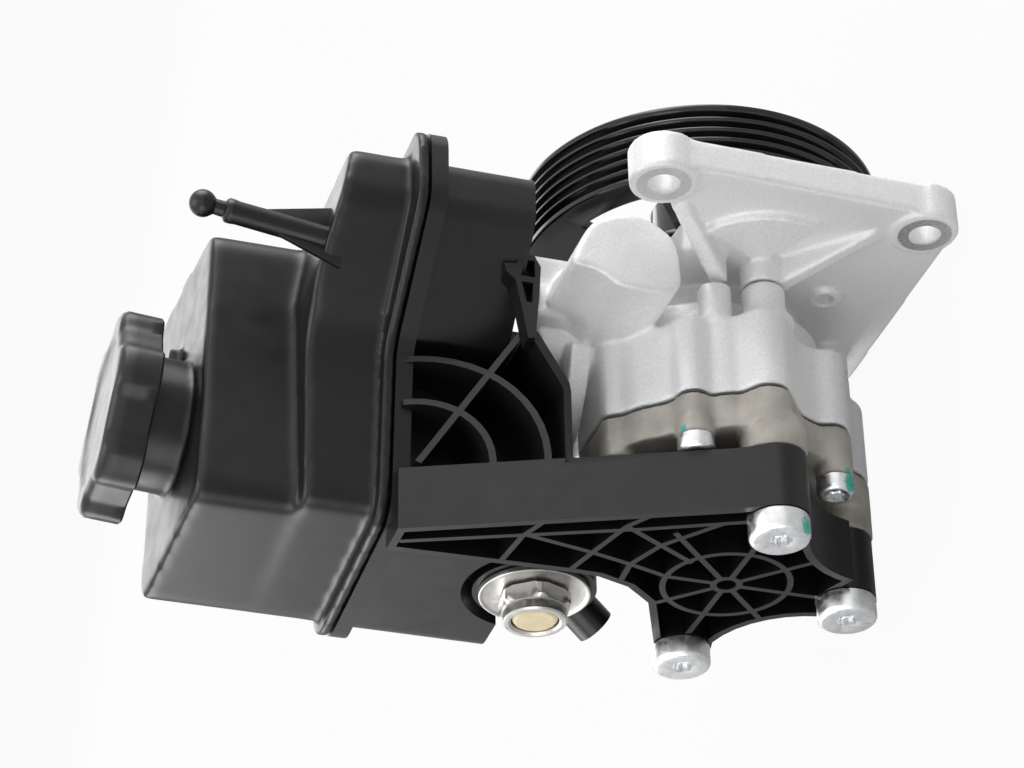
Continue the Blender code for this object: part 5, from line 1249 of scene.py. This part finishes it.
def bracket_pockets():
    """What is taken out between the ribs, leaving rim, ribs, ring and hub."""
    outline = [(x, y, 0.0) for x, y in bracket_outline()]
    front, rear = BRACKET_FRONT + BRACKET_FLOOR, BRACKET_REAR + 1.0 * MM
    inner = [(x, y) for x, y, _ in offset(outline, -BRACKET_RIM)]
    pockets = prism(inner, front, rear)
    tall = (front - 1.0 * MM, rear + 1.0 * MM)
    for start, end in lattice_lines():
        cut(pockets, bar(start, end, LATTICE_WIDTH, *tall))
    hub = Vector(LATTICE_HUB)
    for index in range(8):
        angle = math.pi / 4 * index
        away = Vector((math.cos(angle), math.sin(angle)))
        reach = LATTICE_RING if index == SHORT_SPOKE else SPOKE_REACH
        cut(pockets, bar(hub + away * 3.4 * MM, hub + away * reach, LATTICE_WIDTH, *tall))
    half = LATTICE_WIDTH / 2
    band = disc(LATTICE_HUB, LATTICE_RING + half, WIDE, *tall)
    cut(band, disc(LATTICE_HUB, LATTICE_RING - half, WIDE, tall[0] - 1.0 * MM, tall[1] + 1.0 * MM))
    cut(pockets, band, disc(LATTICE_HUB, LATTICE_HUB_RADIUS, NARROW, *tall))
    for place in LONG_SCREWS:
        cut(pockets, disc(place, BRACKET_BOSS - 0.1 * MM, SEGMENTS, *tall))
    return moved(pockets, TO_DEPTH)


def build_bracket():
    bracket = deep_prism(bracket_outline(), BRACKET_FRONT, BRACKET_REAR)
    cut(bracket, bracket_pockets())
    drill(bracket, LATTICE_HOLE, [LATTICE_HUB], BRACKET_FRONT, BRACKET_REAR)
    return bracket


def gusset():
    """Curved ribs, a spoke and an end wall that stiffen the corner of reservoir and bracket."""
    centre = (-GUSSET_CORNER[0], GUSSET_CORNER[1])
    half = GUSSET_RIB / 2
    pieces = []
    for radius in GUSSET_RADII:
        rim = arc_points(centre, radius + half, -95.0, 5.0, 13)
        root = arc_points(centre, radius - half, 5.0, -95.0, 13)
        pieces.append(prism(rim + root, GUSSET_FLOOR, GUSSET_TOP))
    pieces.append(bar((-107.0 * MM, 90.0 * MM), (-67.0 * MM, 63.0 * MM), GUSSET_RIB,
                      GUSSET_FLOOR, GUSSET_TOP))
    ribs, *others = [moved(piece, TO_SIDE) for piece in pieces]
    unite(ribs, *others)
    # the ribs' edges follow one slanted plane, lower at the reservoir's rim
    lid = box((0.0, -130.0 * MM, -60.0 * MM), (60.0 * MM, -40.0 * MM, 60.0 * MM))
    slope = Matrix.Rotation(-math.atan(GUSSET_SLOPE), 4, "Y")
    moved(lid, Matrix.Translation((GUSSET_EDGE, 0.0, GUSSET_CORNER[1])) @ slope)
    cut(ribs, lid)
    return ribs


def end_wall():
    return side_prism(in_millimetres(END_WALL), GUSSET_FLOOR, END_WALL_NEAR)


def fork_rib():
    """The forked rib beside the suction socket, clear of the boss under it."""
    rib = side_prism(in_millimetres(FORK_RIB), FORK_FAR, FORK_NEAR)
    for opening in FORK_OPENINGS:
        cut(rib, side_prism(in_millimetres(opening), FORK_FAR - 1.0 * MM, FORK_NEAR + 1.0 * MM))
    clear = SUCTION_BULGE_RADIUS + 2 * SEAT_GAP
    return cut(rib, upright(clear, SUCTION_BULGE, 50.0 * MM, SPIGOT_SHOULDER + SEAT_GAP))


def foot_outline():
    return [(-5.0 * MM, FOOT_START, 4.0 * MM), (-5.0 * MM, BASE_NEAR_REAR, 5.0 * MM),
            (-66.0 * MM, TANK_REAR, 7.0 * MM), (-66.0 * MM, FOOT_START, 6.0 * MM)]


def build_reservoir_base():
    weld_face = SEAM - SEAT_GAP / 2
    base = tank_shape(BASE_OUTLINE, BASE_FLOOR, weld_face - 0.5 * MM, 0.0)
    unite(base, weld_rim(RIM_LOW, weld_face))
    unite(base, tank_shape(foot_outline(), FOOT_FLOOR, BASE_FLOOR + 2.0 * MM, 0.0))
    cut(base, tank_shape(BASE_OUTLINE, TANK_FLOOR, weld_face + 1.0 * MM, -TANK_WALL))
    drill(base, ARM_CLEARANCE, [PORT_AXIS], FOOT_START - 1.0 * MM, COLLAR_FRONT + 1.0 * MM, WIDE)
    drill(base, SCOOP_RADIUS, [PORT_AXIS], BRACKET_FRONT + 5.0 * MM, TANK_REAR + 1.0 * MM, WIDE)
    unite(base, build_bracket(), gusset(), end_wall())
    unite(base, post(COLLAR_RADIUS, PORT_AXIS, COLLAR_FRONT, COLLAR_REAR, WIDE))
    drill(base, COLLAR_BORE, [PORT_AXIS], COLLAR_FRONT, COLLAR_REAR, SEGMENTS)
    start, end = pump_point(NIPPLE_START), pump_point(NIPPLE_END)
    unite(base, cylinder(NIPPLE_RADIUS, start, end), fork_rib())
    along = (end - start).normalized()
    cut(base, cylinder(NIPPLE_BORE, start + along * 9.0 * MM, end + along * 1.0 * MM, NARROW))
    cut(base, upright(SPIGOT_NOSE + SEAL_ROOM, SPIGOT_AXIS, 50.0 * MM, BASE_FLOOR + 0.2 * MM))
    cut(base, upright(SPIGOT_NOSE + SEAT_GAP, SPIGOT_AXIS, BASE_FLOOR - 1.0 * MM, TANK_FLOOR + 1.0 * MM))
    drill(base, SLEEVE_RADIUS + SEAT_GAP, LONG_SCREWS, BRACKET_FRONT, BRACKET_REAR, SEGMENTS)
    return base


SHELL_VOXEL = 0.8 * MM
EDGE_ROUND = 0.3 * MM
TAB_REACH = 70.0 * MM
BLEND = 3.0 * MM


def crisp_piece(name, shape, slot, material, width, *nodes):
    """A moulding: its edges are broken by a small round."""
    piece = place_piece(name, taken(shape), "pump_body", slot, material, *nodes)
    piece.data.shade_smooth()
    edge = piece.modifiers.new("edge", "BEVEL")
    edge.width = width
    edge.segments = 2
    edge.limit_method = "ANGLE"
    edge.angle_limit = math.radians(28.0)
    edge.use_clamp_overlap = True
    edge.harden_normals = True
    return piece


def satin_plastic(name, colour, roughness):
    """Glass-filled nylon: near black, satin, with drag lines and a few pale rubs."""
    material = surface(name, colour, roughness, 0.0, rough=(roughness - 0.035, roughness + 0.045, 150.0),
                       bumps=[(0.00001, 2600.0, 3.0)])
    rubs = spread(material, grain(material, 700.0, 6.0, (0.25, 1.0, 1.0)), 0.0, 1.0, 0.66, 0.82)
    two_tone(material, rubs, colour, [part * 2.6 for part in colour])
    material.node_tree.nodes["Principled BSDF"].inputs["Specular IOR Level"].default_value = 0.42
    return material


nylon = satin_plastic("moulded_nylon", (0.006, 0.006, 0.0065), 0.34)
upper_half = cast_piece("reservoir_upper_half", build_reservoir_top(), "black_plastic", nylon, SHELL_VOXEL,
                        6, "reservoir_top")
# the tank's top edges have a wider round than its flange, its neck and the small tab
wide_rounds = upper_half.vertex_groups.new(name="wide_rounds")
to_neck = filler_matrix().inverted()
for vert in upper_half.data.vertices:
    foot = to_neck @ vert.co
    above_rim = (vert.co.z - RIM_HIGH - 2.0 * MM) / BLEND
    off_neck = (math.hypot(foot.x, foot.y) - NECK_RADIUS - 1.0 * MM) / BLEND
    by_tab = abs(vert.co.x - FILLER_BASE[0]) < 4.0 * MM and -vert.co.y < TAB_REACH
    amount = 0.0 if by_tab else min(max(min(above_rim, off_neck), 0.0), 1.0)
    wide_rounds.add([vert.index], amount, "REPLACE")
soften(upper_half, 30, "wide_rounds")
crisp_piece("reservoir_lower_half", build_reservoir_base(), "black_plastic", nylon, EDGE_ROUND,
            "reservoir_base")
dress(nylon, "dipstick")


# Ball stud: moulded with the upper half, and the engine's cover snaps on its ball. Two thin
# webs stiffen it.
STUD_BASE = (20.0 * MM, 46.6 * MM, 118.0 * MM)
STUD_BALL = (20.5 * MM, 41.7 * MM, 155.4 * MM)
STUD_BALL_RADIUS = 3.9 * MM
WEB_WIDTH = 1.6 * MM


def stud_shape():
    """The stud spun on the pump's axis and then stood on its foot."""
    foot, tip = pump_point(STUD_BASE), pump_point(STUD_BALL)
    length = (tip - foot).length
    outline = [(0.0, 0.0), (0.0034, 0.0), (0.0033, length - 0.0100), (0.0035, length - 0.0084),
               (0.0035, length - 0.0070), (0.0030, length - 0.0064), (0.0023, length - 0.0060),
               (0.0022, length - 0.0034)]
    for step in range(1, 13):
        turn = math.radians(-58.0 + 148.0 * step / 12)
        outline.append((max(STUD_BALL_RADIUS * math.cos(turn), 0.0),
                        length + STUD_BALL_RADIUS * math.sin(turn)))
    shape = spun(outline, 64, closed=False)
    lift = (tip - foot).to_track_quat("-Y", "Z").to_matrix().to_4x4()
    shape.transform(Matrix.Translation(foot) @ lift)
    return shape


def web_shape(reach, top):
    """A web from the stud down to the tank: a triangle given its width."""
    foot = pump_point(STUD_BASE)
    foot.z -= 2.0 * MM
    foot.x -= WEB_WIDTH / 2
    crown = foot.lerp(pump_point(STUD_BALL) - Vector((WEB_WIDTH / 2, 0.0, 0.0)), top)
    shape = bmesh.new()
    corners = [foot, Vector((foot.x, foot.y + reach, foot.z)), crown]
    face = shape.faces.new([shape.verts.new(corner) for corner in corners])
    made = bmesh.ops.extrude_face_region(shape, geom=[face])["geom"]
    far_side = [part for part in made if isinstance(part, bmesh.types.BMVert)]
    bmesh.ops.translate(shape, vec=(WEB_WIDTH, 0.0, 0.0), verts=far_side)
    bmesh.ops.recalc_face_normals(shape, faces=shape.faces)
    break_edges(shape, 0.0002)
    return shape


for name, shape in (("ball_stud", stud_shape()), ("stud_web_front", web_shape(0.0110, 0.80)),
                    ("stud_web_rear", web_shape(-0.0090, 0.74))):
    place_piece(name, finished(shape, name), "pump_body", "black_plastic", nylon)


# Filler cap: a screw cap in the same nylon with a six-lobed grip and a slightly dished top.
# It leans with the neck, and carries the dipstick.
CAP_RADIUS = 27.8 * MM
CAP_LOBE = 2.0 * MM
CAP_BOTTOM = 10.7 * MM
CAP_TOP = 23.0 * MM
GRIP_START = 21.3 * MM
GRIP_BLEND = 4.0 * MM


def cap_shape():
    """The cap spun on the pump's axis, its grip pressed to lobes, then stood on the neck."""
    low, top = CAP_BOTTOM, CAP_TOP
    outline = [(0.0205, 0.0196), (0.0205, low + 0.0004), (0.0209, low), (CAP_RADIUS - 0.0006, low),
               (CAP_RADIUS, low + 0.0006), (CAP_RADIUS, low + 0.0040), (CAP_RADIUS, top - 0.0050),
               (CAP_RADIUS, top - 0.0022), (CAP_RADIUS - 0.0008, top - 0.0008),
               (CAP_RADIUS - 0.0022, top), (CAP_RADIUS - 0.0060, top), (CAP_RADIUS - 0.0075, top - 0.0006),
               (0.0120, top - 0.0007), (0.0, top - 0.0007)]
    shape = spun(outline, 192, closed=False)
    for vert in shape.verts:
        reach = math.hypot(vert.co.x, vert.co.z)
        if reach > GRIP_START:
            turn = math.atan2(-vert.co.z, vert.co.x)
            share = min((reach - GRIP_START) / GRIP_BLEND, 1.0)
            lobe = CAP_LOBE * math.tanh(2.0 * math.cos(6 * turn)) / math.tanh(2.0)
            press = 1.0 + share * lobe / reach
            vert.co.x *= press
            vert.co.z *= press
    shape.transform(filler_matrix() @ Matrix.Rotation(math.radians(-90.0), 4, "X"))
    bmesh.ops.recalc_face_normals(shape, faces=shape.faces)
    return shape


cap_nylon = satin_plastic("cap_nylon", (0.012, 0.012, 0.013), 0.36)
place_piece("filler_cap_knob", finished(cap_shape(), "filler_cap_knob"), "cap_knob", "black_plastic",
            cap_nylon, "filler_cap")


# Filter element: pleated paper in the bottom of the reservoir. It is hidden, and keeps its
# CAD shape.
paper = surface("filter_paper", (0.55, 0.50, 0.38), 0.9, 0.0, bumps=[(0.00005, 900.0, 5.0)])
dress(paper, "filter_element")
